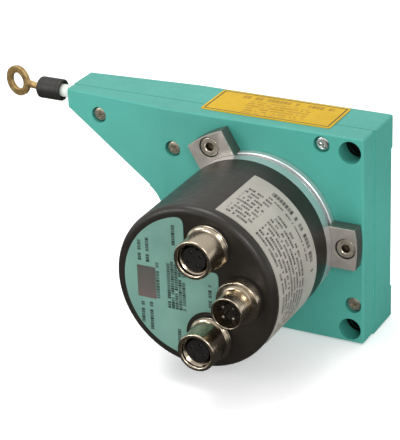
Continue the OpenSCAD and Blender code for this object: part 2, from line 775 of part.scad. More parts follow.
module encoder_shaft() {
    z0 = front_bearing_z + bearing_width - 0.2 - enc_shaft_engage;
    flat_end = front_bearing_z + bearing_width + 1;
    color([0.75, 0.75, 0.76]) stand() {
        at(z0) linear_extrude(height = flat_end - z0 + tiny) driving_section(enc_shaft_r);
        ring(flat_end, enc_shaft_front, enc_shaft_r);
    }
}
module encoder_bearing_outer() {
    for (z = enc_bearing_z)
        outer_race(z, enc_bearing_width, enc_bearing_r, enc_ring_step, enc_ball_circle_r, enc_ball_r);
}
module encoder_bearing_inner() {
    for (z = enc_bearing_z)
        inner_race(z, enc_bearing_width, enc_shaft_r + fit_gap / 2, enc_ring_step,
            enc_ball_circle_r, enc_ball_r);
}
module encoder_bearing_balls() {
    for (z = enc_bearing_z) balls(z, enc_bearing_width, enc_ball_circle_r, enc_ball_r, 8);
}
module disc_hub() {
    bore = enc_shaft_r + fit_gap / 2;
    z0 = enc_hub_front + 0.6;
    color([0.7, 0.7, 0.68]) stand() rotate_extrude() polygon([[bore, z0], [disc_hub_r, z0],
        [disc_hub_r, disc_z - 1], [disc_hub_r + disc_rim, disc_z - 1], [disc_hub_r + disc_rim, disc_z],
        [disc_hub_r, disc_z], [disc_hub_r, enc_shaft_front], [bore, enc_shaft_front]]);
}
module code_disc() {
    color([0.75, 0.8, 0.85]) stand() ring(disc_z, disc_z + disc_t, disc_r, disc_hub_r + fit_gap);
}
// Light source under the disc and sensor over it, in one bracket on the main board
module scan_head() {
    color([0.2, 0.22, 0.25]) stand() difference() {
        translate([-disc_r - scan_length + 6, -scan_side / 2, disc_z - scan_base])
            cube([scan_length, scan_side, main_board_z - disc_z + scan_base]);
        translate([-disc_r - 1.5, -scan_side / 2 - 1, disc_z - scan_slot])
            cube([2 * scan_side, scan_side + 2, disc_t + 2 * scan_slot]);
    }
}
// A round board on the four standoffs
module board(z) {
    difference() {
        ring(z, z + board_t, board_r);
        around(post_angles, post_circle_r) at(z - 1) cylinder(h = board_t + 2, r = post_r + fit_gap);
    }
}
module main_board() { color([0.1, 0.35, 0.2]) stand() board(main_board_z); }
module interface_board() {
    color([0.1, 0.35, 0.2]) stand() difference() {
        board(interface_board_z);
        around(all_ports, port_circle_r) around(contact_angles, contact_circle_r)
            at(interface_board_z - 1) cylinder(h = board_t + 2, r = contact_r + fit_gap, $fn = 24);
    }
}
// Lower and upper standoffs: the lower one's pin passes through the main board
module board_posts() {
    z0 = flange_front - 1.4;
    color([0.75, 0.72, 0.6]) stand() around(post_angles, post_circle_r) {
        ring(z0, main_board_z - fit_gap, post_r + 1);
        ring(z0 - 4 + fit_gap, z0 + tiny, 1 - fit_gap);
        ring(main_board_z - 1, main_board_z + board_t + tiny, post_r);
        ring(main_board_z + board_t + fit_gap, interface_board_z - fit_gap, post_r + 1);
        ring(interface_board_z - 1, interface_board_z + board_t + 0.4, post_r);
    }
}

// Black cup over the electronics, with the seats of the three connectors
module encoder_cover() {
    e = cover_edge_r;
    color([0.14, 0.13, 0.12]) stand() difference() {
        rotate_extrude() union() {
            translate([0, flange_front]) square([enc_r, cover_length - e]);
            translate([0, cover_front - e]) square([enc_r - e, e]);
            translate([enc_r - e, cover_front - e]) circle(r = e, $fn = 64);
        }
        ring(flange_front - 1, cover_front - cover_end, cover_inner_r);
        around(all_ports, port_circle_r)
            at(cover_front - cover_end - 1) cylinder(h = cover_end + 2, r = power_shell_r + 0.1);
    }
}
module nameplate() {
    z0 = face_z + 19.5;
    color([0.75, 0.75, 0.74]) stand() at(z0) rotate([0, 0, 76]) rotate_extrude(angle = -nameplate_angle)
        translate([enc_r, 0]) square([label_t, nameplate_width]);
}
module end_label() {
    color([0.42, 0.66, 0.6]) stand() at(cover_front) linear_extrude(height = label_t) difference() {
        intersection() {
            circle(r = enc_r - cover_edge_r - 0.5);
            translate([-enc_r, -enc_r]) square([enc_r + 9.6, 2 * enc_r]);
        }
        around(port_angles, port_circle_r) circle(r = port_collar_r + 1.6);
        translate(window_at) square(window_size, center = true);
    }
}
module status_window() {
    color([0.5, 0.5, 0.5]) stand() at(cover_front) linear_extrude(height = label_t - 0.05)
        translate(window_at) square(window_size - 2 * [fit_gap, fit_gap], center = true);
}

// --- connectors: shells, inserts and contacts stand on the cover's end ---
module on_ports(angles) { at(cover_front) around(angles, port_circle_r) children(); }
module port_shells() {
    color([0.72, 0.69, 0.62]) stand() on_ports(port_angles) rotate_extrude() polygon([
        [port_bore_r, -shell_tail], [power_shell_r, -shell_tail], [power_shell_r, seal_t],
        [port_collar_r - 0.2, seal_t], [port_collar_r, seal_t + 0.2], [port_collar_r, 2.2],
        [port_collar_r - 0.4, 2.6], [port_shell_r, 2.9], [port_shell_r, port_length - 0.5],
        [port_shell_r - 0.5, port_length], [port_bore_r + 0.5, port_length],
        [port_bore_r, port_length - 0.5]]);
}
module port_inserts() {
    color([0.1, 0.1, 0.1]) stand() on_ports(port_angles) difference() {
        union() {
            ring(-shell_tail, 2, port_bore_r - fit_gap);
            ring(1.9, port_length - insert_recess, insert_r);
        }
        around(contact_angles, contact_circle_r)
            at(-shell_tail - 1) cylinder(h = contact_bore, r = contact_r + 0.15, $fn = 24);
        // keyway of the socket
        translate([insert_r - 0.5, -0.6, port_length - 6]) cube([2, 1.2, 10]);
    }
}
module port_contacts() {
    color([0.8, 0.68, 0.35]) stand() on_ports(port_angles) around(contact_angles, contact_circle_r)
        ring(interface_board_z - cover_front, port_length - insert_recess - 0.8, contact_r);
}
module power_shell() {
    color([0.72, 0.69, 0.62]) stand() on_ports([0]) rotate_extrude() polygon([
        [power_bore_r, -shell_tail], [power_shell_r, -shell_tail], [power_shell_r, seal_t],
        [port_collar_r - 0.2, seal_t], [port_collar_r, seal_t + 0.2], [port_collar_r, 4.4],
        [port_collar_r - 0.5, 5], [power_shell_r, 5], [power_shell_r, port_length - 0.5],
        [power_shell_r - 0.4, port_length], [power_bore_r, port_length]]);
}
module power_insert() {
    color([0.08, 0.08, 0.08]) stand() on_ports([0]) difference() {
        ring(-shell_tail, port_length - power_recess, power_bore_r - fit_gap);
        around(contact_angles, contact_circle_r)
            at(-shell_tail - 1) cylinder(h = contact_bore, r = contact_r + fit_gap, $fn = 24);
    }
}
module power_pins() {
    color([0.8, 0.68, 0.35]) stand() on_ports([0]) around(contact_angles, contact_circle_r) {
        ring(interface_board_z - cover_front, port_length - 1.2, contact_r);
        at(port_length - 1.2) cylinder(h = 0.3, r1 = contact_r, r2 = contact_r - 0.2, $fn = 24);
    }
}
module port_seals() {
    color([0.1, 0.1, 0.1]) stand() on_ports(all_ports)
        ring(0, seal_t, port_collar_r - 0.2, power_shell_r + 0.12);
}
module port_nuts() {
    color([0.72, 0.69, 0.62]) stand() on_ports(all_ports)
        at(-cover_end - nut_t) difference() {
            cylinder(h = nut_t, r = nut_r, $fn = 6);
            at(-1) cylinder(h = nut_t + 2, r = power_shell_r + fit_gap);
        }
}

// --- servo clamps ---
module servo_clamps() {
    color([0.6, 0.57, 0.54]) stand() around([0, 120, 240], 0) difference() {
        union() {
            at(face_z) linear_extrude(height = clamp_t) clamp_section(flange_lip_r + 0.15);
            at(groove_back + 0.05) linear_extrude(height = face_z + clamp_t - groove_back - 0.05)
                clamp_section(flange_lip_r - groove_depth + 0.2);
        }
        translate([clamp_circle_r, 0, face_z - 1]) cylinder(h = clamp_t + 2, r = clamp_screw_r + 0.2);
        translate([clamp_circle_r, 0, face_z + clamp_floor]) cylinder(h = clamp_t, r = clamp_cbore_r);
    }
}
// Piece of a ring with straight sides
module clamp_section(r_in) {
    intersection() {
        difference() {
            circle(r = clamp_outer_r);
            circle(r = r_in);
        }
        translate([0, -clamp_width / 2]) square([clamp_outer_r + 1, clamp_width]);
    }
}
module clamp_screws() {
    color([0.66, 0.62, 0.52]) stand() around([0, 120, 240], clamp_circle_r) difference() {
        union() {
            ring(face_z - 4.4, face_z + clamp_floor + tiny, clamp_screw_r - fit_gap);
            at(face_z + clamp_floor) cylinder(h = clamp_head_h - 0.3, r = clamp_head_r);
            at(face_z + clamp_floor + clamp_head_h - 0.3 - tiny)
                cylinder(h = 0.3, r1 = clamp_head_r, r2 = clamp_head_r - 0.3);
        }
        at(face_z + clamp_floor + clamp_head_h - 2) cylinder(h = 3, r = 1.75, $fn = 6);
    }
}

module top_label() {
    color([0.9, 0.75, 0.2]) stand()
        translate([-0.5 - top_label_length / 2, case_half, face_z - 4.8 - top_label_width])
            cube([top_label_length, label_t, top_label_width]);
}

rear_housing();
front_cover();
case_gasket();
case_screws();
wire_nozzle();
wire_run();
wire_winding();
wire_anchor();
stopper_sleeve();
crimp_ferrule();
ring_eyelet();
measuring_drum();
drum_shaft();
drum_clip();
preload_washer();
rear_bearing_outer();
rear_bearing_inner();
front_bearing_outer();
front_bearing_inner();
drum_bearing_balls();
power_spring();
spring_liner();
spring_post();
encoder_flange();
encoder_shaft();
encoder_bearing_outer();
encoder_bearing_inner();
encoder_bearing_balls();
disc_hub();
code_disc();
scan_head();
main_board();
interface_board();
board_posts();
cover_seal();
encoder_cover();
nameplate();
end_label();
status_window();
port_shells();
port_inserts();
port_contacts();
power_shell();
power_insert();
power_pins();
port_seals();
port_nuts();
servo_clamps();
clamp_screws();
top_label();
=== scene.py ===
"""Draw wire encoder: a wedge-nosed wire drum case with a flange-clamped rotary encoder.

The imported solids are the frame. The screws, clamps, flange, connector shells, wire fittings,
end foil and top label are modelled here, lying on their backs in millimetres as the part is
drawn, and then stood up in the row frame. Every other solid keeps its mesh and gets a finish.
"""
import math
import bpy
from mathutils import Matrix, Vector


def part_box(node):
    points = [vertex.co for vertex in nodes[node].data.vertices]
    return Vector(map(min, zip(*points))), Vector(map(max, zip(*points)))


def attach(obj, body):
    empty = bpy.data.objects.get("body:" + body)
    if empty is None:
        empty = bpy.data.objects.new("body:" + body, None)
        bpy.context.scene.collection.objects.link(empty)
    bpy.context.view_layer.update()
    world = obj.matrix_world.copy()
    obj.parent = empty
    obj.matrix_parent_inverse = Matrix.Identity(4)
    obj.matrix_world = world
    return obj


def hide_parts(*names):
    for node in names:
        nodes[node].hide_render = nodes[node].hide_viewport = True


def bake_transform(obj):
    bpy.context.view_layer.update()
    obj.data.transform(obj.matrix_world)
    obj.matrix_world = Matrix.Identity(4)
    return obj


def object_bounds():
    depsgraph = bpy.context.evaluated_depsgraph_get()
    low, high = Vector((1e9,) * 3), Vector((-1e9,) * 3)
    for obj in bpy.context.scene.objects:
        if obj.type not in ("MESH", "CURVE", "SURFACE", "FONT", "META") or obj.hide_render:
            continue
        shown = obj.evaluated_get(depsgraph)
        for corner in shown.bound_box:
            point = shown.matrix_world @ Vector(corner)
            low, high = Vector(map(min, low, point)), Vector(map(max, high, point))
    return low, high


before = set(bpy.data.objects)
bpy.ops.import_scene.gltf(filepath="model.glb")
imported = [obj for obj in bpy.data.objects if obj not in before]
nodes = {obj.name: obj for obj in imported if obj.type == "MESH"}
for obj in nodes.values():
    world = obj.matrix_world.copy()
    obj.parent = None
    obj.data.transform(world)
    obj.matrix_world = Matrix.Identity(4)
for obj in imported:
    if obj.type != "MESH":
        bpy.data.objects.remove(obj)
cad_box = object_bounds()

MM = 0.001
TURN = 2 * math.pi
SMOOTH_ANGLE = math.radians(32)
LETTER_SHARE = 0.84
CODE_LINES = 256
CLAMP_ANGLES = (0, 120, 240)
# the case screw whose steel carries a painted highlight
HIGHLIT_SCREW = 2


def lying(node):
    """A node's lowest and highest corner in the lying frame, in millimetres."""
    low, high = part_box(node)
    return (Vector((low.x, low.z, -high.y)) / MM, Vector((high.x, high.z, -low.y)) / MM)


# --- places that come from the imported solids, in millimetres ---
FACE = lying("front_cover")[1].z
CASE_TOP = lying("front_cover")[1].y
COVER_FRONT = lying("encoder_cover")[1].z
COVER_R = lying("encoder_cover")[1].x
PORT_END = lying("port_shells")[1].z - COVER_FRONT
PORT_COLLAR_R = (lying("power_shell")[1].y - lying("power_shell")[0].y) / 2
PORT_CIRCLE_R = (lying("power_shell")[0].x + lying("power_shell")[1].x) / 2
PORT_HEIGHT = lying("port_shells")[1].y - PORT_COLLAR_R
PORT_ANGLE = math.degrees(math.asin(PORT_HEIGHT / PORT_CIRCLE_R))
CLAMP_R = lying("servo_clamps")[1].x
CLAMP_FRONT = lying("servo_clamps")[1].z
WIRE_Y = (lying("stopper_sleeve")[0].y + lying("stopper_sleeve")[1].y) / 2
WIRE_Z = (lying("stopper_sleeve")[0].z + lying("stopper_sleeve")[1].z) / 2
SLEEVE_FRONT = lying("stopper_sleeve")[0].x
SLEEVE_BACK = lying("stopper_sleeve")[1].x
SLEEVE_R = (lying("stopper_sleeve")[1].y - lying("stopper_sleeve")[0].y) / 2
NOZZLE_END = lying("wire_nozzle")[0].x
LABEL_LOW, LABEL_HIGH = lying("top_label")

# --- sizes of the modelled pieces, in millimetres ---
PORT_BACK = -6
PORT_SEAT = 0.8
PORT_NECK_R = 6
PORT_BORE_R = 5.4
POWER_BORE_R = 5.1
CLAMP_WIDTH = 15.6
CLAMP_INNER = 20
CLAMP_HOLE_R = 2.2
CLAMP_SCREW_R = 34.9
CLAMP_GRIP_R = 27.8
LIP_R = 29.75
LIP_TOP = FACE + 3.05
SPIGOT_R = 25
FLANGE_LENGTH = 10
FLANGE_BORE_R = 6.6
SEAT_STEP = 2
SCREW_HEAD_R = 3.5
SCREW_HEAD_H = 2.8
HEAD_GAP = 0.4
SOCKET_R = 1.73
SOCKET_DEPTH = 2
SCREW_SEAT = CLAMP_FRONT - SCREW_HEAD_H - 0.5
RING_R = 5.9
RING_HOLE_R = 3.25
RING_T = 1.6
RING_LEAN = math.radians(14)
KNUCKLE_R = 1.4
RING_CENTRE = KNUCKLE_R + 2.9 + RING_R
KNUCKLE_X = SLEEVE_FRONT - 1.2
WIRE_R = 0.4
MOUNT_AT = CASE_TOP - 5.6
COUNTERBORE_R = 4.2
# depth in the mounting counterbores from which their floors take painted shade
BORE_SHADE_DEPTH = 7.2
COUNTERBORE_DEPTH = 11
FOIL_STEP_X = -3.0
FOIL_CORNER = 3.4
FOIL_MARGIN = 0.7
FOIL_CLEAR = 1.6
FOIL_TIP = 2.6
LABEL_CORNER = 1.2
CASE_SCREW_R = 2.75
CASE_SCREW_SINK = 2.6
TAPER_LENGTH = 44
TAPER_FALL = 4


# ----------------------------------------------------------------- mesh helpers

def clear_selection():
    """Leaves nothing selected, so that an operator meets only what is chosen next."""
    if bpy.context.object and bpy.context.object.mode != "OBJECT":
        bpy.ops.object.mode_set(mode="OBJECT")
    bpy.ops.object.select_all(action="DESELECT")


def choose(piece):
    """Makes a piece the only selected and active one."""
    clear_selection()
    piece.select_set(True)
    bpy.context.view_layer.objects.active = piece


def new_primitive(name, add, **sizes):
    """Adds a primitive with its own name, and settles its place in its mesh."""
    clear_selection()
    add(**sizes)
    piece = bpy.context.object
    bpy.ops.object.transform_apply(location=True, rotation=True, scale=True)
    piece.name = name
    piece.data.name = name
    return piece


def edit(piece, mode):
    """Opens a piece in edit mode with one kind of element and nothing selected."""
    choose(piece)
    bpy.ops.object.mode_set(mode="EDIT")
    bpy.ops.mesh.select_mode(type=mode)
    bpy.ops.mesh.select_all(action="DESELECT")
    bpy.ops.object.mode_set(mode="OBJECT")


def pick_faces(piece, test):
    """Selects the faces that pass a test, and opens the piece in edit mode."""
    edit(piece, "FACE")
    for face in piece.data.polygons:
        face.select = bool(test(face))
    bpy.ops.object.mode_set(mode="EDIT")


def pick_edges(piece, test):
    """Selects the edges whose two ends pass a test, and opens the piece in edit mode."""
    edit(piece, "EDGE")
    points = piece.data.vertices
    for edge in piece.data.edges:
        edge.select = bool(test(*(points[i].co for i in edge.vertices)))
    bpy.ops.object.mode_set(mode="EDIT")


def leave_edit():
    """Goes back to object mode."""
    bpy.ops.object.mode_set(mode="OBJECT")


def put(piece, turn=(0, 0, 0), move=(0, 0, 0), scale=(1, 1, 1)):
    """Turns, then moves a piece, and settles it in its mesh."""
    choose(piece)
    piece.rotation_euler = turn
    piece.location = move
    piece.scale = scale
    bpy.ops.object.transform_apply(location=True, rotation=True, scale=True)
    return piece


def drawn(name, points):
    """A face whose outline is extruded point by point. The piece stays in edit mode, and
    all of it is selected."""
    piece = new_primitive(name, bpy.ops.mesh.primitive_plane_add, size=0.1)
    bpy.ops.object.mode_set(mode="EDIT")
    bpy.ops.mesh.select_mode(type="VERT")
    bpy.ops.mesh.select_all(action="SELECT")
    bpy.ops.mesh.merge(type="CENTER")
    bpy.ops.transform.translate(value=points[0])
    for here, there in zip(points, points[1:]):
        step = tuple(after - before for before, after in zip(here, there))
        bpy.ops.mesh.extrude_vertices_move(TRANSFORM_OT_translate={"value": step})
    bpy.ops.mesh.select_all(action="SELECT")
    bpy.ops.mesh.edge_face_add()
    return piece


def turned(name, profile, steps=96):
    """A closed profile of (radius, height) points, spun round the Z axis."""
    piece = drawn(name, [(radius, 0, height) for radius, height in profile])
    bpy.ops.mesh.delete(type="ONLY_FACE")
    bpy.ops.mesh.select_all(action="SELECT")
    bpy.ops.mesh.spin(steps=steps, angle=TURN, center=(0, 0, 0), axis=(0, 0, 1))
    close_mesh()
    return piece


def close_mesh():
    """Merges doubles and turns the faces outwards, in edit mode, then leaves it."""
    bpy.ops.mesh.select_all(action="SELECT")
    bpy.ops.mesh.remove_doubles(threshold=0.0005)
    bpy.ops.mesh.dissolve_degenerate(threshold=0.0001)
    bpy.ops.mesh.normals_make_consistent(inside=False)
    leave_edit()


def arc(centre, radius, start, end, count=6):
    """Points of a profile's round corner, in degrees."""
    steps = [math.radians(start + (end - start) * i / count) for i in range(count + 1)]
    return [(centre[0] + radius * math.cos(a), centre[1] + radius * math.sin(a)) for a in steps]


def cut(piece, tool):
    """Takes a tool's shape out of a piece."""
    choose(piece)
    modifier = piece.modifiers.new("cut", "BOOLEAN")
    modifier.operation = "DIFFERENCE"
    modifier.solver = "EXACT"
    modifier.object = tool
    bpy.ops.object.modifier_apply(modifier=modifier.name)
    bpy.data.objects.remove(tool)


def soften(piece, width, segments=3, angle=35):
    """Rounds a piece's sharp edges with a bevel that is applied."""
    choose(piece)
    modifier = piece.modifiers.new("soft edges", "BEVEL")
    modifier.width = width
    modifier.segments = segments
    modifier.limit_method = "ANGLE"
    modifier.angle_limit = math.radians(angle)
    bpy.ops.object.modifier_apply(modifier=modifier.name)


def join(name, pieces):
    """Makes several pieces one mesh."""
    clear_selection()
    for piece in pieces:
        piece.select_set(True)
    bpy.context.view_layer.objects.active = pieces[0]
    bpy.ops.object.join()
    pieces[0].name = name
    pieces[0].data.name = name
    return pieces[0]


def copy_of(piece, name):
    """A copy with a mesh of its own."""
    twin = piece.copy()
    twin.data = piece.data.copy()
    twin.name = name
    twin.data.name = name
    bpy.context.scene.collection.objects.link(twin)
    return twin


def smooth(piece):
    """Shades a piece smooth, apart from its sharp edges."""
    choose(piece)
    bpy.ops.object.shade_smooth_by_angle(angle=SMOOTH_ANGLE)


def fit_piece(piece, finish, body, stands_for):
    """Stands a lying piece up in the row frame and finishes it. It rides on its body, in
    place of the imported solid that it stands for."""
    put(piece, turn=(math.pi / 2, 0, 0), scale=(MM, MM, MM))
    smooth(piece)
    piece.data.materials.clear()
    piece.data.materials.append(finishes[finish])
    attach(piece, body)
    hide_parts(stands_for)


# ------------------------------------------------------------- material helpers

class Nodes:
    """Shorthand for building a node tree."""

    def __init__(self, tree, place):
        self.tree = tree
        self.place = self.node("ShaderNodeTexCoord").outputs[place]

    def node(self, kind, **values):
        made = self.tree.nodes.new(kind)
        for key, value in values.items():
            setattr(made, key, value)
        return made

    def link(self, source, target):
        self.tree.links.new(source, target)

    def math(self, operation, first, second=0.0):
        made = self.node("ShaderNodeMath", operation=operation)
        for socket, value in zip(made.inputs, (first, second)):
            if isinstance(value, (int, float)):
                socket.default_value = value
            else:
                self.link(value, socket)
        return made.outputs[0]

    def times(self, first, *others):
        """All the values multiplied."""
        for value in others:
            first = self.math("MULTIPLY", first, value)
        return first

    def ramp(self, factor, stops):
        made = self.node("ShaderNodeValToRGB")
        band = made.color_ramp
        while len(band.elements) < len(stops):
            band.elements.new(0.5)
        for element, (at, value) in zip(band.elements, stops):
            element.position = at
            element.color = (*value, 1) if isinstance(value, tuple) else (value, value, value, 1)
        self.link(factor, made.inputs["Fac"])
        return made.outputs["Color"]

    def mix(self, factor, first, second):
        made = self.node("ShaderNodeMix", data_type="RGBA")
        self.link(factor, made.inputs["Factor"])
        for socket, value in ((made.inputs[6], first), (made.inputs[7], second)):
            if isinstance(value, tuple):
                socket.default_value = (*value, 1)
            else:
                self.link(value, socket)
        return made.outputs[2]

    def axes(self):
        split = self.node("ShaderNodeSeparateXYZ")
        self.link(self.place, split.inputs[0])
        return tuple(split.outputs)

    def within(self, value, low, high):
        """1 where a value lies between two limits."""
        above = self.math("GREATER_THAN", value, low)
        return self.times(above, self.math("LESS_THAN", value, high))

    def field(self, x, x_low, x_high, y, y_low, y_high):
        """1 inside a rectangle."""
        return self.times(self.within(x, x_low, x_high), self.within(y, y_low, y_high))

    def between(self, value, start, end):
        """Rises smoothly from 0 to 1 between two values, or falls where end is less."""
        made = self.node("ShaderNodeMapRange", interpolation_type="SMOOTHSTEP")
        made.inputs["From Min"].default_value = min(start, end)
        made.inputs["From Max"].default_value = max(start, end)
        made.inputs["To Min"].default_value = 0 if start < end else 1
        made.inputs["To Max"].default_value = 1 if start < end else 0
        self.link(value, made.inputs["Value"])
        return made.outputs["Result"]


class Finish(Nodes):
    """A procedural finish on object coordinates."""

    def __init__(self, name, colour, roughness, metallic=0.0):
        self.material = bpy.data.materials.new(name)
        self.material.use_nodes = True
        super().__init__(self.material.node_tree, "Object")
        self.shader = self.tree.nodes["Principled BSDF"]
        self.shader.inputs["Base Color"].default_value = (*colour, 1)
        self.shader.inputs["Roughness"].default_value = roughness
        self.shader.inputs["Metallic"].default_value = metallic
        self.bumps = None

    def noise(self, size, detail=3.0):
        """Noise whose grain has the given size in metres."""
        made = self.node("ShaderNodeTexNoise")
        made.inputs["Scale"].default_value = 1 / size
        made.inputs["Detail"].default_value = detail
        self.link(self.place, made.inputs["Vector"])
        return made.outputs["Fac"]

    def colour(self, source):
        self.link(source, self.shader.inputs["Base Color"])

    def clouds(self, size, detail, first, second):
        """Cloudy colour between two tones."""
        return self.ramp(self.noise(size, detail), [(0.3, first), (0.7, second)])

    def roughness(self, factor, low, high):
        self.link(self.ramp(factor, [(0.3, low), (0.7, high)]), self.shader.inputs["Roughness"])

    def specular(self, level):
        self.shader.inputs["Specular IOR Level"].default_value = level

    def bump(self, height, distance, strength=1.0):
        made = self.node("ShaderNodeBump")
        made.inputs["Strength"].default_value = strength
        made.inputs["Distance"].default_value = distance
        self.link(height, made.inputs["Height"])
        if self.bumps is not None:
            self.link(self.bumps, made.inputs["Normal"])
        self.bumps = made.outputs["Normal"]
        self.link(self.bumps, self.shader.inputs["Normal"])

    def from_axis(self):
        """Distance from the drum axis."""
        x, _, z = self.axes()
        return self.math("SQRT", self.math("ADD", self.times(x, x), self.times(z, z)))

    def dashes(self, along, across, pitch, fill, dash, ink):
        """Ruled rows of short dashes: rows repeat across, and dashes break them along."""
        row = self.math("DIVIDE", across, pitch)
        inside = self.math("LESS_THAN", self.math("FRACT", row), fill)
        step = self.math("DIVIDE", along, dash)
        letter = self.math("LESS_THAN", self.math("FRACT", step), LETTER_SHARE)
        seed = self.node("ShaderNodeCombineXYZ")
        self.link(step, seed.inputs[0])
        self.link(self.times(self.math("FLOOR", row), 3.7), seed.inputs[1])
        cells = self.node("ShaderNodeTexWhiteNoise", noise_dimensions="2D")
        floor = self.node("ShaderNodeVectorMath", operation="FLOOR")
        self.link(seed.outputs[0], floor.inputs[0])
        self.link(floor.outputs[0], cells.inputs["Vector"])
        inked = self.math("LESS_THAN", cells.outputs["Value"], ink)
        shade = self.math("FRACT", self.times(cells.outputs["Value"], 17.3))
        shade = self.math("ADD", self.times(shade, 0.4), 0.6)
        return self.times(inside, letter, inked, shade)


def linear(red, green, blue):
    """A display colour from 0 to 255 as the shader's linear colour."""
    def one(value):
        value = value / 255
        return value / 12.92 if value <= 0.04045 else ((value + 0.055) / 1.055) ** 2.4
    return one(red), one(green), one(blue)


# ------------------------------------------------------------------- finishes

def powder_coat(name, colour):
    """Satin powder coat: orange peel, cloudy colour and fine speckle. The floors of the deep mounting
    counterbores are coloured dark brown as painted shade."""
    f = Finish(name, colour, 0.42)
    deep = tuple(c * 0.92 for c in colour)
    pale = tuple(min(1, c * 1.05) for c in colour)
    coat = f.clouds(0.03, 2, deep, pale)
    x, y, z = f.axes()
    near_x = f.math("SUBTRACT", f.math("ABSOLUTE", x), MOUNT_AT * MM)
    near_z = f.math("SUBTRACT", f.math("ABSOLUTE", z), MOUNT_AT * MM)
    square = f.math("ADD", f.times(near_x, near_x), f.times(near_z, near_z))
    in_bore = f.math("LESS_THAN", square, (COUNTERBORE_R * MM + 0.00005) ** 2)
    far = f.within(y, (BORE_SHADE_DEPTH - FACE) * MM, (COUNTERBORE_DEPTH + 0.2 - FACE) * MM)
    # Painted shade: below a set depth the mounting counterbores are coloured dark brown instead of
    # green.
    f.colour(f.mix(f.times(in_bore, far), coat, linear(34, 26, 22)))
    f.roughness(f.noise(0.004, 3), 0.36, 0.5)
    f.bump(f.noise(0.0011, 2), 0.00003, 0.5)
    f.bump(f.noise(0.0003, 2), 0.00001, 0.3)
    f.specular(0.35)
    return f.material


def cover_paint():
    """Dark brown-black satin paint over a drawn cup."""
    f = Finish("cover paint", linear(36, 32, 28), 0.38)
    f.colour(f.clouds(0.02, 3, linear(29, 25, 20), linear(36, 32, 26)))
    f.roughness(f.noise(0.003, 4), 0.32, 0.44)
    f.bump(f.noise(0.0006, 2), 0.000012, 0.4)
    f.specular(0.45)
    return f.material


def lathe_metal(name, colour, roughness, groove=0.00025, metallic=1.0):
    """Turned metal: fine rings round the drum axis, and soft stains."""
    f = Finish(name, colour, roughness, metallic)
    rings = f.node("ShaderNodeTexNoise", noise_dimensions="1D")
    rings.inputs["Scale"].default_value = 1 / groove
    f.link(f.math("ADD", f.from_axis(), f.axes()[1]), rings.inputs["W"])
    f.bump(rings.outputs["Fac"], 0.0000004, 0.4)
    dull = tuple(c * 0.88 for c in colour)
    tone = f.math("ADD", f.times(rings.outputs["Fac"], 0.5), f.times(f.noise(0.02, 1), 0.5))
    f.colour(f.ramp(tone, [(0.35, dull), (0.6, colour)]))
    f.roughness(rings.outputs["Fac"], roughness * 0.88, roughness * 1.12)
    return f.material


def plain_metal(name, colour, roughness, grain=0.0006, depth=0.000006, cloud=0.78, metallic=1.0):
    """Machined or plated metal with a fine grain and cloudy tone."""
    f = Finish(name, colour, roughness, metallic)
    dull = tuple(c * cloud for c in colour)
    f.colour(f.clouds(0.003, 4, dull, colour))
    f.roughness(f.noise(0.0012, 4), roughness * 0.75, roughness * 1.3)
    f.bump(f.noise(grain, 3), depth, 0.6)
    return f.material


def clamp_steel():
    """Machined front face over sides that are darkened towards the case face as painted shade."""
    f = Finish("clamp steel", linear(186, 178, 170), 0.4, 0.6)
    rise = f.math("SUBTRACT", -FACE * MM, f.axes()[1])
    rise = f.math("DIVIDE", rise, (CLAMP_FRONT - FACE) * MM)
    stain = f.times(f.noise(0.003, 3), 0.12)
    # Painted shade: the clamp's sides are dark greenish up to near its front, and only the front face
    # keeps the bright steel.
    side_shade = [(0.88, linear(84, 96, 88)), (0.99, linear(180, 174, 165))]
    f.colour(f.ramp(f.math("ADD", rise, f.math("SUBTRACT", stain, 0.06)), side_shade))
    f.roughness(f.noise(0.0012, 4), 0.32, 0.5)
    f.bump(f.noise(0.0004, 3), 0.000004, 0.6)
    return f.material


def socket_steel():
    """Screw steel that darkens in the socket and down the sides of the head, as painted shade."""
    f = Finish("socket screw steel", linear(206, 196, 178), 0.3, 0.8)
    rise = f.math("SUBTRACT", -SCREW_SEAT * MM, f.axes()[1])
    rise = f.math("DIVIDE", rise, SCREW_HEAD_H * MM)
    stain = f.times(f.noise(0.001, 3), 0.04)
    dark = linear(46, 43, 36)
    # Painted shade: dark in the socket and down the head's sides, bright only on the head's top rim.
    depth = [(0.27, linear(112, 102, 80)), (0.36, dark), (0.86, dark), (0.97, linear(206, 196, 178))]
    f.colour(f.ramp(f.math("ADD", rise, f.math("SUBTRACT", stain, 0.02)), depth))
    f.roughness(f.noise(0.0012, 4), 0.22, 0.4)
    f.bump(f.noise(0.0003, 3), 0.000003, 0.6)
    return f.material


def old_brass():
    """Passivated brass, dull brown-gold with darker blotches."""
    f = Finish("dull brass", linear(168, 132, 78), 0.38, 0.75)
    dark, plain, bright = linear(142, 113, 66), linear(182, 152, 98), linear(208, 183, 132)
    f.colour(f.ramp(f.noise(0.0022, 5), [(0.25, dark), (0.5, plain), (0.75, bright)]))
    f.roughness(f.noise(0.001, 4), 0.28, 0.5)
    f.bump(f.noise(0.0004, 3), 0.00001, 0.6)
    return f.material


def moulded(name, colour, roughness, grain=0.0004, depth=0.00001):
    """Moulded plastic or rubber: fine spark-eroded grain."""
    f = Finish(name, colour, roughness)
    dark = tuple(c * 0.85 for c in colour)
    f.colour(f.clouds(0.004, 3, dark, colour))
    f.roughness(f.noise(0.0015, 3), roughness * 0.85, min(1, roughness * 1.15))
    f.bump(f.noise(grain, 2), depth, 0.5)
    return f.material


def strand():
    """Coated wire: the lay of the strands shows as a fine twist."""
    f = Finish("coated strand", linear(190, 190, 186), 0.35, 0.8)
    wave = f.node("ShaderNodeTexWave", bands_direction="DIAGONAL")
    wave.inputs["Scale"].default_value = 900
    f.link(f.place, wave.inputs["Vector"])
    f.bump(wave.outputs["Fac"], 0.00004, 0.8)
    f.roughness(f.noise(0.002, 2), 0.3, 0.42)
    return f.material


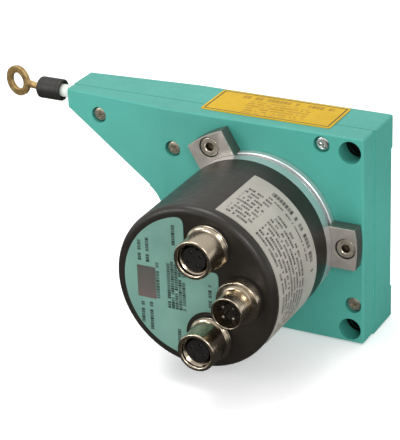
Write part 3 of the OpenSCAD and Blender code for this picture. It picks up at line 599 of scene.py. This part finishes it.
def clear_disc():
    """Glass code disc with a chrome track of fine lines."""
    f = Finish("glass code disc", (0.75, 0.8, 0.85), 0.06)
    x, _, z = f.axes()
    angle = f.math("ARCTAN2", z, x)
    lines = f.math("GREATER_THAN", f.math("SINE", f.times(angle, CODE_LINES)), 0)
    track = f.times(lines, f.within(f.from_axis(), 0.012, 0.0145))
    f.colour(f.mix(track, (0.75, 0.8, 0.85), (0.08, 0.08, 0.09)))
    f.link(track, f.shader.inputs["Metallic"])
    f.shader.inputs["Transmission Weight"].default_value = 0.6
    return f.material


def circuit_board():
    """Solder-masked board with tracks."""
    f = Finish("solder mask", (0.02, 0.12, 0.05), 0.35)
    tracks = f.node("ShaderNodeTexBrick")
    tracks.inputs["Scale"].default_value = 260
    tracks.inputs["Color1"].default_value = (0.015, 0.1, 0.04, 1)
    tracks.inputs["Color2"].default_value = (0.02, 0.13, 0.055, 1)
    tracks.inputs["Mortar"].default_value = (0.05, 0.24, 0.1, 1)
    tracks.inputs["Mortar Size"].default_value = 0.03
    f.link(f.place, tracks.inputs["Vector"])
    f.colour(tracks.outputs["Color"])
    f.roughness(f.noise(0.002, 3), 0.28, 0.42)
    return f.material


def yellow_foil():
    """Yellow label foil with a thin dark frame near its edge and faint rows of dashes."""
    f = Finish("yellow foil", linear(232, 186, 42), 0.34)
    f.specular(0.15)
    x, y, _ = f.axes()
    low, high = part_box("top_label")

    def panel(edge):
        """1 inside the label, less an even edge."""
        return f.field(x, low.x + edge, high.x - edge, y, low.y + edge, high.y - edge)

    frame_line = f.math("SUBTRACT", panel(0.0009), panel(0.0014))
    heading = f.field(x, low.x + 0.009, high.x - 0.005, y, high.y - 0.0052, high.y - 0.0026)
    heading = f.times(heading, f.dashes(x, y, 1, 1, 0.0016, 0.75))
    body = f.field(x, low.x + 0.014, high.x - 0.012, y, low.y + 0.0022, high.y - 0.0068)
    body = f.times(body, f.dashes(x, y, 0.0021, 0.5, 0.0009, 0.74))
    faint = f.times(f.math("MAXIMUM", heading, body), 0.75)
    cloud = f.clouds(0.015, 3, linear(188, 150, 8), linear(200, 162, 11))
    printed = f.mix(faint, cloud, linear(128, 88, 16))
    f.colour(f.mix(frame_line, printed, linear(60, 52, 24)))
    f.roughness(f.noise(0.003, 3), 0.28, 0.42)
    f.bump(f.noise(0.0009, 2), 0.000008, 0.5)
    return f.material


# Print on the nameplate: low and high angle in degrees, low and high depth in metres
# behind the plate's front edge, then the pitch and fill of the rows, the dash and the
# share of the dashes that are inked
PLATE_PRINT = [(53, 72, 0.0088, 0.0285, 0.0022, 0.56, 0.00085, 0.8),
               (-28, 47, 0.011, 0.0285, 0.0022, 0.56, 0.00085, 0.8),
               (-2, 58, 0.003, 0.0052, 0.02, 1, 0.0013, 0.84),
               (8, 58, 0.0068, 0.0077, 0.02, 1, 0.0007, 0.85)]


def silver_foil():
    """Silver nameplate foil with ruled rows of short dashes in place of print."""
    f = Finish("silver foil", linear(186, 182, 176), 0.42, 0.25)
    x, y, z = f.axes()
    along = f.times(f.math("ARCTAN2", z, x), COVER_R * MM)
    depth = f.math("SUBTRACT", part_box("nameplate")[1].y, y)
    degree = COVER_R * MM * math.radians(1)
    rows = None
    for start, end, near, far, *ruling in PLATE_PRINT:
        part = f.field(along, start * degree, end * degree, depth, near, far)
        part = f.times(part, f.dashes(along, depth, *ruling))
        rows = part if rows is None else f.math("MAXIMUM", rows, part)
    cloud = f.clouds(0.012, 3, linear(160, 156, 147), linear(176, 172, 162))
    f.colour(f.mix(rows, cloud, linear(56, 52, 48)))
    f.roughness(f.noise(0.003, 3), 0.34, 0.5)
    f.bump(f.noise(0.0008, 2), 0.000006, 0.4)
    return f.material


# Columns of print on the end foil: middle, low end, high end and dash, in metres
FOIL_MARKS = [(-0.0203, 0.0072, 0.0148, 0.001), (-0.0172, 0.0068, 0.0162, 0.001),
              (-0.0198, -0.0165, -0.0085, 0.001), (-0.0165, -0.0188, -0.008, 0.001),
              (-0.0136, -0.0062, 0.0074, 0.0011), (-0.007, 0.0152, 0.0226, 0.001),
              (0.0063, -0.0058, 0.003, 0.001), (-0.006, -0.0228, -0.0165, 0.001)]


def green_foil():
    """Grey-green end foil with short marks beside the window and the ports."""
    f = Finish("green foil", linear(116, 162, 147), 0.38)
    x, _, z = f.axes()
    hatch = f.field(x, -0.0102, -0.0028, z, -0.0092, 0.0088)
    ink = f.times(f.dashes(z, x, 0.00142, 0.86, 0.0009, 0.92), hatch)
    for middle, low_z, high_z, dash in FOIL_MARKS:
        column = f.field(x, middle - 0.00065, middle + 0.00065, z, low_z, high_z)
        ink = f.math("MAXIMUM", ink, f.times(column, f.dashes(z, x, 1, 1, dash, 0.9)))
    cloud = f.clouds(0.012, 3, linear(90, 128, 117), linear(100, 139, 127))
    f.colour(f.mix(ink, cloud, linear(24, 31, 28)))
    f.roughness(f.noise(0.003, 3), 0.3, 0.46)
    f.bump(f.noise(0.0009, 2), 0.000007, 0.4)
    return f.material


def lens_foil():
    """Smoked lens over the lamps, redder at its foot."""
    f = Finish("smoked lens", linear(96, 90, 92), 0.3)
    low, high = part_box("status_window")
    share = f.math("DIVIDE", f.math("SUBTRACT", f.axes()[2], low.z), high.z - low.z)
    stops = [(0.0, linear(94, 80, 77)), (0.3, linear(83, 78, 74)), (1.0, linear(73, 73, 69))]
    f.colour(f.ramp(share, stops))
    f.roughness(f.noise(0.002, 2), 0.12, 0.22)
    f.shader.inputs["Coat Weight"].default_value = 0.2
    return f.material


finishes = {
    "case": powder_coat("case powder coat", linear(69, 153, 140)),
    "cover_paint": cover_paint(),
    "flange": lathe_metal("turned flange", linear(232, 230, 230), 0.32, 0.0006, 0.85),
    "drum": lathe_metal("turned drum", linear(190, 192, 194), 0.3),
    "clamp": clamp_steel(),
    "screw": plain_metal("zinc screw steel", linear(190, 182, 162), 0.28, 0.0003, 0.000003, 0.85, 0.8),
    "socket_screw": socket_steel(),
    # Painted highlight: a near-white, greenish copy of the screw steel stands in for one screw's
    # glint.
    "highlit_screw": plain_metal("screw steel with painted highlight", linear(232, 240, 236), 0.16, 0.0003),
    "shaft": lathe_metal("ground shaft steel", linear(205, 205, 205), 0.18),
    "spring": plain_metal("blued spring steel", linear(110, 118, 130), 0.3),
    "race": lathe_metal("bearing steel", linear(210, 211, 214), 0.12),
    "nickel": plain_metal("warm nickel plate", linear(196, 182, 160), 0.22, 0.002, 0.0000003, 0.94),
    "tin": plain_metal("tinned pins", linear(206, 204, 192), 0.3),
    "brass": old_brass(),
    "strand": strand(),
    "nozzle": moulded("white nozzle plastic", linear(210, 216, 209), 0.4),
    "sleeve": moulded("black sleeve rubber", linear(34, 31, 27), 0.5, 0.0007, 0.00002),
    "seal": moulded("seal rubber", linear(28, 28, 28), 0.6),
    # Painted light: the gasket is a paler green than the case, so the shaded gap between the shells
    # reads faint.
    "joint": moulded("gasket green with painted light", linear(84, 176, 161), 0.6),
    "insert": moulded("black insert plastic", linear(14, 11, 9), 0.55),
    "scan": moulded("scan head plastic", linear(60, 62, 70), 0.5),
    "glass": clear_disc(),
    "board": circuit_board(),
    "yellow": yellow_foil(),
    "silver": silver_foil(),
    "green": green_foil(),
    "lens": lens_foil(),
}

NODE_FINISH = {
    "rear_housing": "case", "front_cover": "case",
    "case_gasket": "joint", "cover_seal": "seal", "port_seals": "seal",
    "case_screws": "screw", "clamp_screws": "screw", "wire_anchor": "screw",
    "wire_nozzle": "nozzle", "spring_liner": "nozzle",
    "wire_run": "strand", "wire_winding": "strand", "stopper_sleeve": "sleeve",
    "crimp_ferrule": "brass", "ring_eyelet": "brass",
    "measuring_drum": "drum", "disc_hub": "drum",
    "drum_shaft": "shaft", "encoder_shaft": "shaft", "spring_post": "shaft", "board_posts": "shaft",
    "drum_clip": "spring", "preload_washer": "spring", "power_spring": "spring",
    "rear_bearing_outer": "race", "rear_bearing_inner": "race",
    "front_bearing_outer": "race", "front_bearing_inner": "race",
    "drum_bearing_balls": "race", "encoder_bearing_outer": "race",
    "encoder_bearing_inner": "race", "encoder_bearing_balls": "race",
    "encoder_flange": "flange", "code_disc": "glass",
    "main_board": "board", "interface_board": "board", "scan_head": "scan",
    "port_inserts": "insert", "power_insert": "insert", "encoder_cover": "cover_paint",
    "nameplate": "silver", "end_label": "green", "status_window": "lens", "top_label": "yellow",
    "port_shells": "nickel", "power_shell": "nickel", "port_nuts": "nickel",
    "port_contacts": "tin", "power_pins": "tin", "servo_clamps": "clamp",
}


def finish_frame():
    """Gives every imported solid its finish, in each of its material slots."""
    for name, node in nodes.items():
        for place in node.material_slots:
            place.material = finishes[NODE_FINISH[name]]


# --------------------------------------------------------------------- camera

def look():
    """The camera stands in front, to the right and above, with a slight roll."""
    azimuth = math.radians(28.109)
    elevation = math.radians(25.111)
    roll = math.radians(-2.192)
    target = Vector((-0.025239, -FACE * MM, -0.002289))
    distance = 0.689569
    forward = Vector((-math.sin(azimuth) * math.cos(elevation),
                      math.cos(azimuth) * math.cos(elevation), -math.sin(elevation)))
    right = Vector((math.cos(azimuth), math.sin(azimuth), 0))
    up = right.cross(forward)
    turned_right = math.cos(roll) * right + math.sin(roll) * up
    turned_up = -math.sin(roll) * right + math.cos(roll) * up
    data = bpy.data.cameras.new("camera")
    data.sensor_fit = "HORIZONTAL"
    data.sensor_width = 36
    data.lens = 169.6
    data.shift_x = 0.0014
    data.shift_y = 0.0019
    data.clip_start = 0.01
    data.clip_end = 100
    camera = bpy.data.objects.new("camera", data)
    bpy.context.scene.collection.objects.link(camera)
    axes = Matrix((turned_right, turned_up, -forward)).transposed().to_4x4()
    camera.matrix_world = Matrix.Translation(target - forward * distance) @ axes
    bpy.context.scene.camera = camera
    bpy.context.scene.view_settings.view_transform = "Standard"


def soft_light(name, place, aim, size, power):
    """One square soft box that looks at a point."""
    data = bpy.data.lights.new(name, "AREA")
    data.shape = "SQUARE"
    data.size = size
    data.energy = power
    lamp = bpy.data.objects.new(name, data)
    bpy.context.scene.collection.objects.link(lamp)
    direction = Vector(aim) - Vector(place)
    lamp.location = place
    lamp.rotation_mode = "QUATERNION"
    lamp.rotation_quaternion = direction.to_track_quat("-Z", "Y")


WORLD_STRENGTH = 0.8
FLOOR_SIZE = 60
FLOOR_GAP = 0.0002


def studio():
    """Pale surroundings, soft boxes over and beside the object, and a pale floor. Behind
    the object and round the horizon the surroundings are bright."""
    world = bpy.data.worlds.new("white surroundings")
    world.use_nodes = True
    sky = Nodes(world.node_tree, "Generated")
    across, depth, height = sky.axes()
    half = sky.math("ADD", sky.times(height, 0.5), 0.5)
    tone = sky.ramp(half, [(0.47, 0.06), (0.53, 0.36), (0.8, 1.0)])
    behind = sky.times(sky.between(depth, 0.1, 0.75), sky.between(height, -0.3, -0.05),
                       sky.between(across, 0.6, 0.1))
    tone = sky.mix(behind, tone, (1, 1, 1))
    horizon = sky.times(sky.between(height, -0.1, -0.05), sky.between(height, 0.24, 0.16))
    tone = sky.mix(horizon, tone, (1 / WORLD_STRENGTH,) * 3)
    background = world.node_tree.nodes["Background"]
    sky.link(tone, background.inputs["Color"])
    background.inputs["Strength"].default_value = WORLD_STRENGTH
    bpy.context.scene.world = world
    centre = (-0.01, -0.04, 0.0)
    soft_light("box over the case", (-0.15, -0.1, 0.7), centre, 0.4, 2.55)
    soft_light("box at the left front", (-0.6, -0.7, 0.35), centre, 0.28, 2.1)
    soft_light("box at the right", (0.5, -0.7, 0.5), centre, 0.25, 2.75)
    floor = new_primitive("pale_floor", bpy.ops.mesh.primitive_plane_add, size=FLOOR_SIZE,
                          location=(0, 0, cad_box[0].z - FLOOR_GAP))
    f = Finish("pale floor", (0.97, 0.97, 0.97), 0.8)
    f.colour(f.clouds(0.4, 2, (0.96, 0.96, 0.96), (0.98, 0.98, 0.98)))
    f.shader.inputs["Emission Color"].default_value = (1, 1, 1, 1)
    f.shader.inputs["Emission Strength"].default_value = 0.25
    floor.data.materials.append(f.material)
    floor.visible_glossy = False


# -------------------------------------------------------------------- pieces

def port_shell():
    """Female shell: flared base collar, rolled rim and an inner thread."""
    r = PORT_COLLAR_R
    profile = [(PORT_BORE_R, PORT_BACK), (PORT_NECK_R, PORT_BACK)]
    profile += [(PORT_NECK_R, PORT_SEAT), (r - 0.2, PORT_SEAT)]
    profile += arc((r - 0.35, 1.2), 0.35, -60, 60, 4)
    profile += [(r - 0.2, 1.95), (r - 0.6, 2.35)]
    profile += arc((7.9, 3.3), 1.0, 250, 180, 5)
    profile += arc((6.4, PORT_END - 0.5), 0.5, 0, 90, 6)
    profile += arc((6.05, PORT_END - 0.6), 0.6, 90, 180, 6)
    return turned("port_shell", profile, 128)


def thread(name, radius, depth, start, end, pitch=1.0, outward=True):
    """A ridge that winds along a cylinder, as a rolled thread does."""
    side = 1 if outward else -1
    base = radius - side * 0.08
    ridge = [(base, start), (radius, start + 0.1), (radius + side * depth, start + 0.42),
             (radius + side * depth, start + 0.58), (radius, start + 0.9), (base, start + 0.98)]
    piece = drawn(name, [(r, 0, h) for r, h in ridge])
    leave_edit()
    modifier = piece.modifiers.new("thread", "SCREW")
    modifier.axis = "Z"
    modifier.angle = TURN
    modifier.screw_offset = pitch
    modifier.iterations = max(1, int((end - start) / pitch) - 1)
    modifier.steps = 48
    modifier.render_steps = 48
    choose(piece)
    bpy.ops.object.modifier_apply(modifier=modifier.name)
    return piece


def bus_ports():
    """The two female connectors, above and below."""
    shell = port_shell()
    ridge = thread("inner_thread", 5.42, 0.35, 3.2, PORT_END - 0.8, outward=False)
    first = join("upper_bus_shell", [shell, ridge])
    lower = copy_of(first, "lower_bus_shell")
    for piece, angle in ((first, PORT_ANGLE), (lower, -PORT_ANGLE)):
        a = math.radians(angle)
        place = (PORT_CIRCLE_R * math.cos(a), PORT_CIRCLE_R * math.sin(a), COVER_FRONT)
        put(piece, turn=(0, 0, a), move=place)
    fit_piece(first, "nickel", "housing", "port_shells")
    fit_piece(lower, "nickel", "housing", "port_shells")


def power_port():
    """The male connector: broad collar, undercut and an outer thread."""
    r = PORT_COLLAR_R
    end = PORT_END
    profile = [(POWER_BORE_R, PORT_BACK), (PORT_NECK_R, PORT_BACK), (PORT_NECK_R, PORT_SEAT)]
    profile += [(r - 0.3, PORT_SEAT), (r, PORT_SEAT + 0.3), (r, 3.9)]
    profile += arc((r - 0.5, 3.9), 0.5, 0, 90, 4)
    profile += [(6.4, 4.4), (5.8, 4.75), (5.72, 5.1), (5.72, 5.6), (5.78, 5.8), (5.78, end - 0.6)]
    profile += arc((5.5, end - 0.28), 0.28, 0, 90, 4)
    profile += arc((5.3, end - 0.2), 0.2, 90, 180, 4)
    shell = turned("power_shell_body", profile, 128)
    ridge = thread("outer_thread", 5.77, 0.035, 5.7, end - 0.4)
    piece = join("power_shell_threaded", [shell, ridge])
    put(piece, move=(PORT_CIRCLE_R, 0, COVER_FRONT))
    fit_piece(piece, "nickel", "housing", "power_shell")


def bore_tool(x, y, z, radius, height, sides=64):
    """A cutter for a hole that stands on its lower face."""
    return new_primitive("tool", bpy.ops.mesh.primitive_cylinder_add, vertices=sides,
                         radius=radius, depth=height, location=(x, y, z + height / 2))


def clamps():
    """Three clamps: curved plates over the flange's lip, with chamfered edges."""
    height = CLAMP_FRONT - FACE
    plate = new_primitive("clamp_plate", bpy.ops.mesh.primitive_cylinder_add, vertices=192,
                          radius=CLAMP_R, depth=height, location=(0, 0, FACE + height / 2))
    half = CLAMP_WIDTH / 2
    planes = [((0, half, 0), (0, 1, 0)), ((0, -half, 0), (0, -1, 0)),
              ((CLAMP_INNER, 0, 0), (-1, 0, 0))]
    for place, normal in planes:
        edit(plate, "FACE")
        bpy.ops.object.mode_set(mode="EDIT")
        bpy.ops.mesh.select_all(action="SELECT")
        bpy.ops.mesh.bisect(plane_co=place, plane_no=normal, use_fill=True, clear_outer=True)
        leave_edit()
    cut(plate, bore_tool(0, 0, FACE - 1, LIP_R, LIP_TOP - FACE + 1, 192))
    cut(plate, bore_tool(0, 0, FACE - 1, CLAMP_GRIP_R, height + 2, 192))
    cut(plate, bore_tool(CLAMP_SCREW_R, 0, FACE - 1, CLAMP_HOLE_R, height + 2))
    cut(plate, bore_tool(CLAMP_SCREW_R, 0, SCREW_SEAT, SCREW_HEAD_R + HEAD_GAP, height))
    soften(plate, 0.4, 3, 30)
    for number, angle in enumerate(CLAMP_ANGLES):
        clamp = copy_of(plate, f"clamp_{number + 1}")
        put(clamp, turn=(0, 0, math.radians(angle)))
        fit_piece(clamp, "clamp", "housing", "servo_clamps")
    bpy.data.objects.remove(plate)


def flange():
    """Turned flange: spigot, lip, clamp groove and the seat that carries the cover."""
    low, high = lying("encoder_flange")
    lip = LIP_R - 0.15
    groove = CLAMP_GRIP_R - 0.2
    r = high.x
    end = FACE + FLANGE_LENGTH
    seat = r - SEAT_STEP
    profile = [(FLANGE_BORE_R, low.z), (SPIGOT_R - 0.3, low.z), (SPIGOT_R, low.z + 0.3)]
    profile += [(SPIGOT_R, FACE)]
    profile += [(lip - 0.35, FACE), (lip, FACE + 0.35), (lip, FACE + 2.7), (lip - 0.3, FACE + 3)]
    profile += [(groove + 0.2, FACE + 3), (groove, FACE + 3.2), (groove, FACE + 5.4)]
    profile += [(groove + 0.2, FACE + 5.6), (r - 0.35, FACE + 5.6), (r, FACE + 5.95), (r, end)]
    profile += [(seat, end), (seat, end + 5), (seat - 3, end + 5), (seat - 3, end - 1.4)]
    profile += [(9.5, end - 1.4), (9.5, high.z), (FLANGE_BORE_R, high.z), (FLANGE_BORE_R, low.z)]
    piece = turned("turned_flange", profile, 192)
    fit_piece(piece, "flange", "housing", "encoder_flange")


def socket_screw():
    """Socket head screw: chamfered head, hexagon socket with a drilled bottom."""
    r, h = SCREW_HEAD_R, SCREW_HEAD_H
    profile = [(0, 0), (r - 0.15, 0), (r, 0.15), (r, h - 0.35)]
    profile += arc((r - 0.3, h - 0.3), 0.3, 0, 90, 4)
    profile += [(1.95, h), (1.75, h - 0.18), (0, h - 0.18)]
    head = turned("socket_head", profile, 96)
    cut(head, bore_tool(0, 0, h - SOCKET_DEPTH, SOCKET_R, SOCKET_DEPTH + 0.5, 6))
    tip = new_primitive("tool", bpy.ops.mesh.primitive_cone_add, vertices=48, radius1=0.0,
                        radius2=1.45, depth=0.8, location=(0, 0, h - SOCKET_DEPTH - 0.2))
    cut(head, tip)
    shank = turned("shank", [(0, 0.05), (1.97, 0.05), (1.97, -4.2), (1.6, -4.6), (0, -4.6)], 48)
    return join("clamp_screw", [head, shank])


def clamp_screws():
    """A socket screw holds each clamp."""
    screw = socket_screw()
    for number, angle in enumerate(CLAMP_ANGLES):
        one = copy_of(screw, f"clamp_screw_{number + 1}")
        a = math.radians(angle)
        place = (CLAMP_SCREW_R * math.cos(a), CLAMP_SCREW_R * math.sin(a), SCREW_SEAT)
        put(one, turn=(0, 0, a + 0.5), move=place)
        fit_piece(one, "socket_screw", "housing", "clamp_screws")
    bpy.data.objects.remove(screw)


def wire_ring():
    """Flat ring with soft edges on a short shank, leaning back on a round knuckle."""
    half = RING_T / 2
    soft = 0.2
    profile = arc((RING_R - soft, half - soft), soft, 0, 90, 4)
    profile += arc((RING_HOLE_R + soft, half - soft), soft, 90, 180, 4)
    profile += arc((RING_HOLE_R + soft, soft - half), soft, 180, 270, 4)
    profile += arc((RING_R - soft, soft - half), soft, 270, 360, 4)
    ring = turned("ring", profile, 96)
    put(ring, move=(-RING_CENTRE, 0, 0))
    start = RING_CENTRE - RING_R + 0.5
    shank = new_primitive("shank", bpy.ops.mesh.primitive_cylinder_add, vertices=32, radius=1.25,
                          depth=start, location=(-start / 2, 0, 0), rotation=(0, math.pi / 2, 0))
    pick_faces(shank, lambda face: face.normal.x < -0.9)
    bpy.ops.transform.resize(value=(1, 1.25, 0.6), center_override=(-start, 0, 0))
    leave_edit()
    soften(shank, 0.2, 2)
    knuckle = new_primitive("knuckle", bpy.ops.mesh.primitive_uv_sphere_add, segments=32,
                            ring_count=16, radius=KNUCKLE_R)
    pick_faces(knuckle, lambda face: abs(face.center.z) > 0.8 * KNUCKLE_R)
    bpy.ops.transform.resize(value=(1, 1, 0.85), center_override=(0, 0, 0))
    leave_edit()
    piece = join("wire_ring", [ring, shank, knuckle])
    put(piece, turn=(0, -RING_LEAN, 0), move=(KNUCKLE_X, WIRE_Y, WIRE_Z))
    fit_piece(piece, "brass", "wire_end", "ring_eyelet")


def along_wire(piece, x):
    """Lays a turned piece along the wire, which leaves towards -X."""
    return put(piece, turn=(0, -math.pi / 2, 0), move=(x, WIRE_Y, WIRE_Z))


def stopper():
    """Rubber stopper: a mouth for the nozzle, soft shoulders and a waist line."""
    r = SLEEVE_R
    length = SLEEVE_BACK - SLEEVE_FRONT
    profile = [(3.1, 0), (r - 0.45, 0)]
    profile += arc((r - 0.4, 0.4), 0.4, -80, 0, 3)
    profile += [(r, 1.3), (r - 0.12, 1.45), (r, 1.6), (r, length - 1.7)]
    profile += arc((r - 1.3, length - 1.5), 1.3, 10, 70, 5)
    profile += [(r - 1.3, length), (1.5, length), (1.35, length - 0.3), (0.6, length - 0.5)]
    profile += [(0.6, 2.4), (3.1, 2.4)]
    piece = along_wire(turned("stopper", profile, 96), SLEEVE_BACK)
    fit_piece(piece, "sleeve", "wire_end", "stopper_sleeve")


def nozzle():
    """White nozzle with a trumpet mouth and a collar seated in the case."""
    end = lying("wire_nozzle")[1].x - NOZZLE_END
    profile = [(0.8, 1.2), (1.5, 0), (2.4, 0), (2.4, 3), (2.8, 3), (2.8, 5), (2.4, 5)]
    profile += [(2.4, end - 0.8)]
    profile += arc((1.9, end - 0.5), 0.5, 0, 80, 5)
    profile += arc((1.9, end - 1.1), 1.1, 100, 170, 5)
    piece = along_wire(turned("nozzle", profile, 64), lying("wire_nozzle")[1].x)
    fit_piece(piece, "nozzle", "housing", "wire_nozzle")


def wire():
    """The wire from the drum to its crimp."""
    low, high = lying("wire_run")
    piece = new_primitive("drawn_wire", bpy.ops.mesh.primitive_cylinder_add, vertices=24,
                          radius=WIRE_R, depth=high.x - low.x,
                          location=((low.x + high.x) / 2, WIRE_Y, WIRE_Z),
                          rotation=(0, math.pi / 2, 0))
    pick_faces(piece, lambda face: abs(face.normal.x) > 0.9)
    bpy.ops.mesh.inset(thickness=0.08)
    bpy.ops.transform.resize(value=(1.0005, 1, 1), center_override=((low.x + high.x) / 2, 0, 0))
    leave_edit()
    put(piece, turn=(math.pi / 2, 0, 0), scale=(MM, MM, MM))
    smooth(piece)
    piece.data.materials.append(finishes["strand"])
    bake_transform(piece)
    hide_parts("wire_run")


def case_screw():
    """Small pan head with a cross recess."""
    profile = [(0, 0), (CASE_SCREW_R, 0), (CASE_SCREW_R - 0.03, 0.9)]
    profile += arc((1.9, 0.9), 0.82, 0, 75, 5)
    profile += [(1.2, 1.85), (0, 1.9)]
    head = turned("pan_head", profile, 64)
    for turn in (0, math.pi / 2):
        blade = new_primitive("tool", bpy.ops.mesh.primitive_cube_add, size=1,
                              location=(0, 0, 1.6), rotation=(0, 0, turn), scale=(3.2, 0.62, 1.8))
        pick_faces(blade, lambda face: face.normal.z < -0.9)
        bpy.ops.transform.resize(value=(0.45, 0.45, 1), center_override=(0, 0, 0.7))
        leave_edit()
        cut(head, blade)
    soften(head, 0.06, 2, 45)
    shank = turned("case_shank", [(0, 0.05), (1.45, 0.05), (1.45, -4), (0, -4)], 32)
    return join("case_screw", [head, shank])


def case_screws():
    """The screws of the case: two in the nose's root, the others at the corners."""
    half = CASE_TOP
    nose = lying("front_cover")[0].x
    places = [(nose + 14, WIRE_Y - 4.6), (4.9 - half, half - 15.3), (half - 16.3, half - 4.2),
              (half - 4.4, 15.5 - half), (14.7 - half, 4.4 - half), (4.4 - half, 15.5 - half)]
    taper_start = nose + TAPER_LENGTH
    screw = case_screw()
    for number, (x, y) in enumerate(places):
        front = FACE - max(0, taper_start - x) * TAPER_FALL / TAPER_LENGTH
        one = copy_of(screw, f"case_screw_{number + 1}")
        put(one, turn=(0, 0, 0.6 * number), move=(x, y, front - CASE_SCREW_SINK))
        # One screw takes the steel with the painted highlight.
        finish = "highlit_screw" if number == HIGHLIT_SCREW else "screw"
        fit_piece(one, finish, "housing", "case_screws")
    bpy.data.objects.remove(screw)


def top_label():
    """Yellow label with rounded corners on the top of the case."""
    size = LABEL_HIGH - LABEL_LOW
    middle = (LABEL_HIGH + LABEL_LOW) / 2
    piece = new_primitive("yellow_label", bpy.ops.mesh.primitive_cube_add, size=1,
                          location=middle, scale=size)
    pick_edges(piece, lambda a, b: abs(a.y - b.y) > 0.1)
    bpy.ops.mesh.bevel(offset=LABEL_CORNER, segments=6, affect="EDGES")
    leave_edit()
    fit_piece(piece, "yellow", "housing", "top_label")


def rounded(before, corner, after, reach, count=6):
    """Points of a soft corner between its two neighbours."""
    here = Vector(corner)
    start = here + (Vector(before) - here).normalized() * reach
    end = here + (Vector(after) - here).normalized() * reach
    steps = [i / count for i in range(count + 1)]
    return [tuple(start.lerp(here, t).lerp(here.lerp(end, t), t)) for t in steps]


def end_foil():
    """Grey-green foil on the cover's end, cut round the ports and past them."""
    r = (lying("end_label")[1].y - lying("end_label")[0].y) / 2 - FOIL_MARGIN
    right = lying("end_label")[1].x
    clear = PORT_COLLAR_R + FOIL_CLEAR
    a = math.radians(PORT_ANGLE)
    port = (PORT_CIRCLE_R * math.cos(a), PORT_CIRCLE_R * math.sin(a))
    top = math.sqrt(r ** 2 - FOIL_STEP_X ** 2)
    meet = math.degrees(math.asin(max(-1, min(1, (right - port[0]) / clear))))
    corner = (right, port[1] - clear * math.cos(math.radians(meet)))
    bite = arc(port, clear, 180, 270 + meet - 18, 16)
    half = rounded(bite[-1], corner, (right, 0), FOIL_TIP)[::-1] + bite[::-1]
    half += [(FOIL_STEP_X, port[1])]
    turn_in = math.atan2(top, FOIL_STEP_X) + FOIL_CORNER / r
    onward = (r * math.cos(turn_in), r * math.sin(turn_in))
    half += rounded((FOIL_STEP_X, port[1]), (FOIL_STEP_X, top), onward, FOIL_CORNER)
    half += arc((0, 0), r, math.degrees(turn_in) + 1, 180, 48)
    outline = half + [(x, -y) for x, y in half[-2::-1]]
    piece = drawn("end_foil", [(x, y, COVER_FRONT) for x, y in outline])
    thickness = lying("end_label")[1].z - COVER_FRONT
    bpy.ops.mesh.extrude_region_move(TRANSFORM_OT_translate={"value": (0, 0, thickness)})
    close_mesh()
    low, high = lying("status_window")
    window = new_primitive("tool", bpy.ops.mesh.primitive_cube_add, size=1,
                           location=(low + high) / 2, scale=(high.x - low.x, high.y - low.y, 3))
    cut(piece, window)
    fit_piece(piece, "green", "housing", "end_label")


look()
finish_frame()
studio()
bus_ports()
power_port()
flange()
clamps()
clamp_screws()
wire_ring()
stopper()
nozzle()
wire()
case_screws()
top_label()
end_foil()

clear_selection()
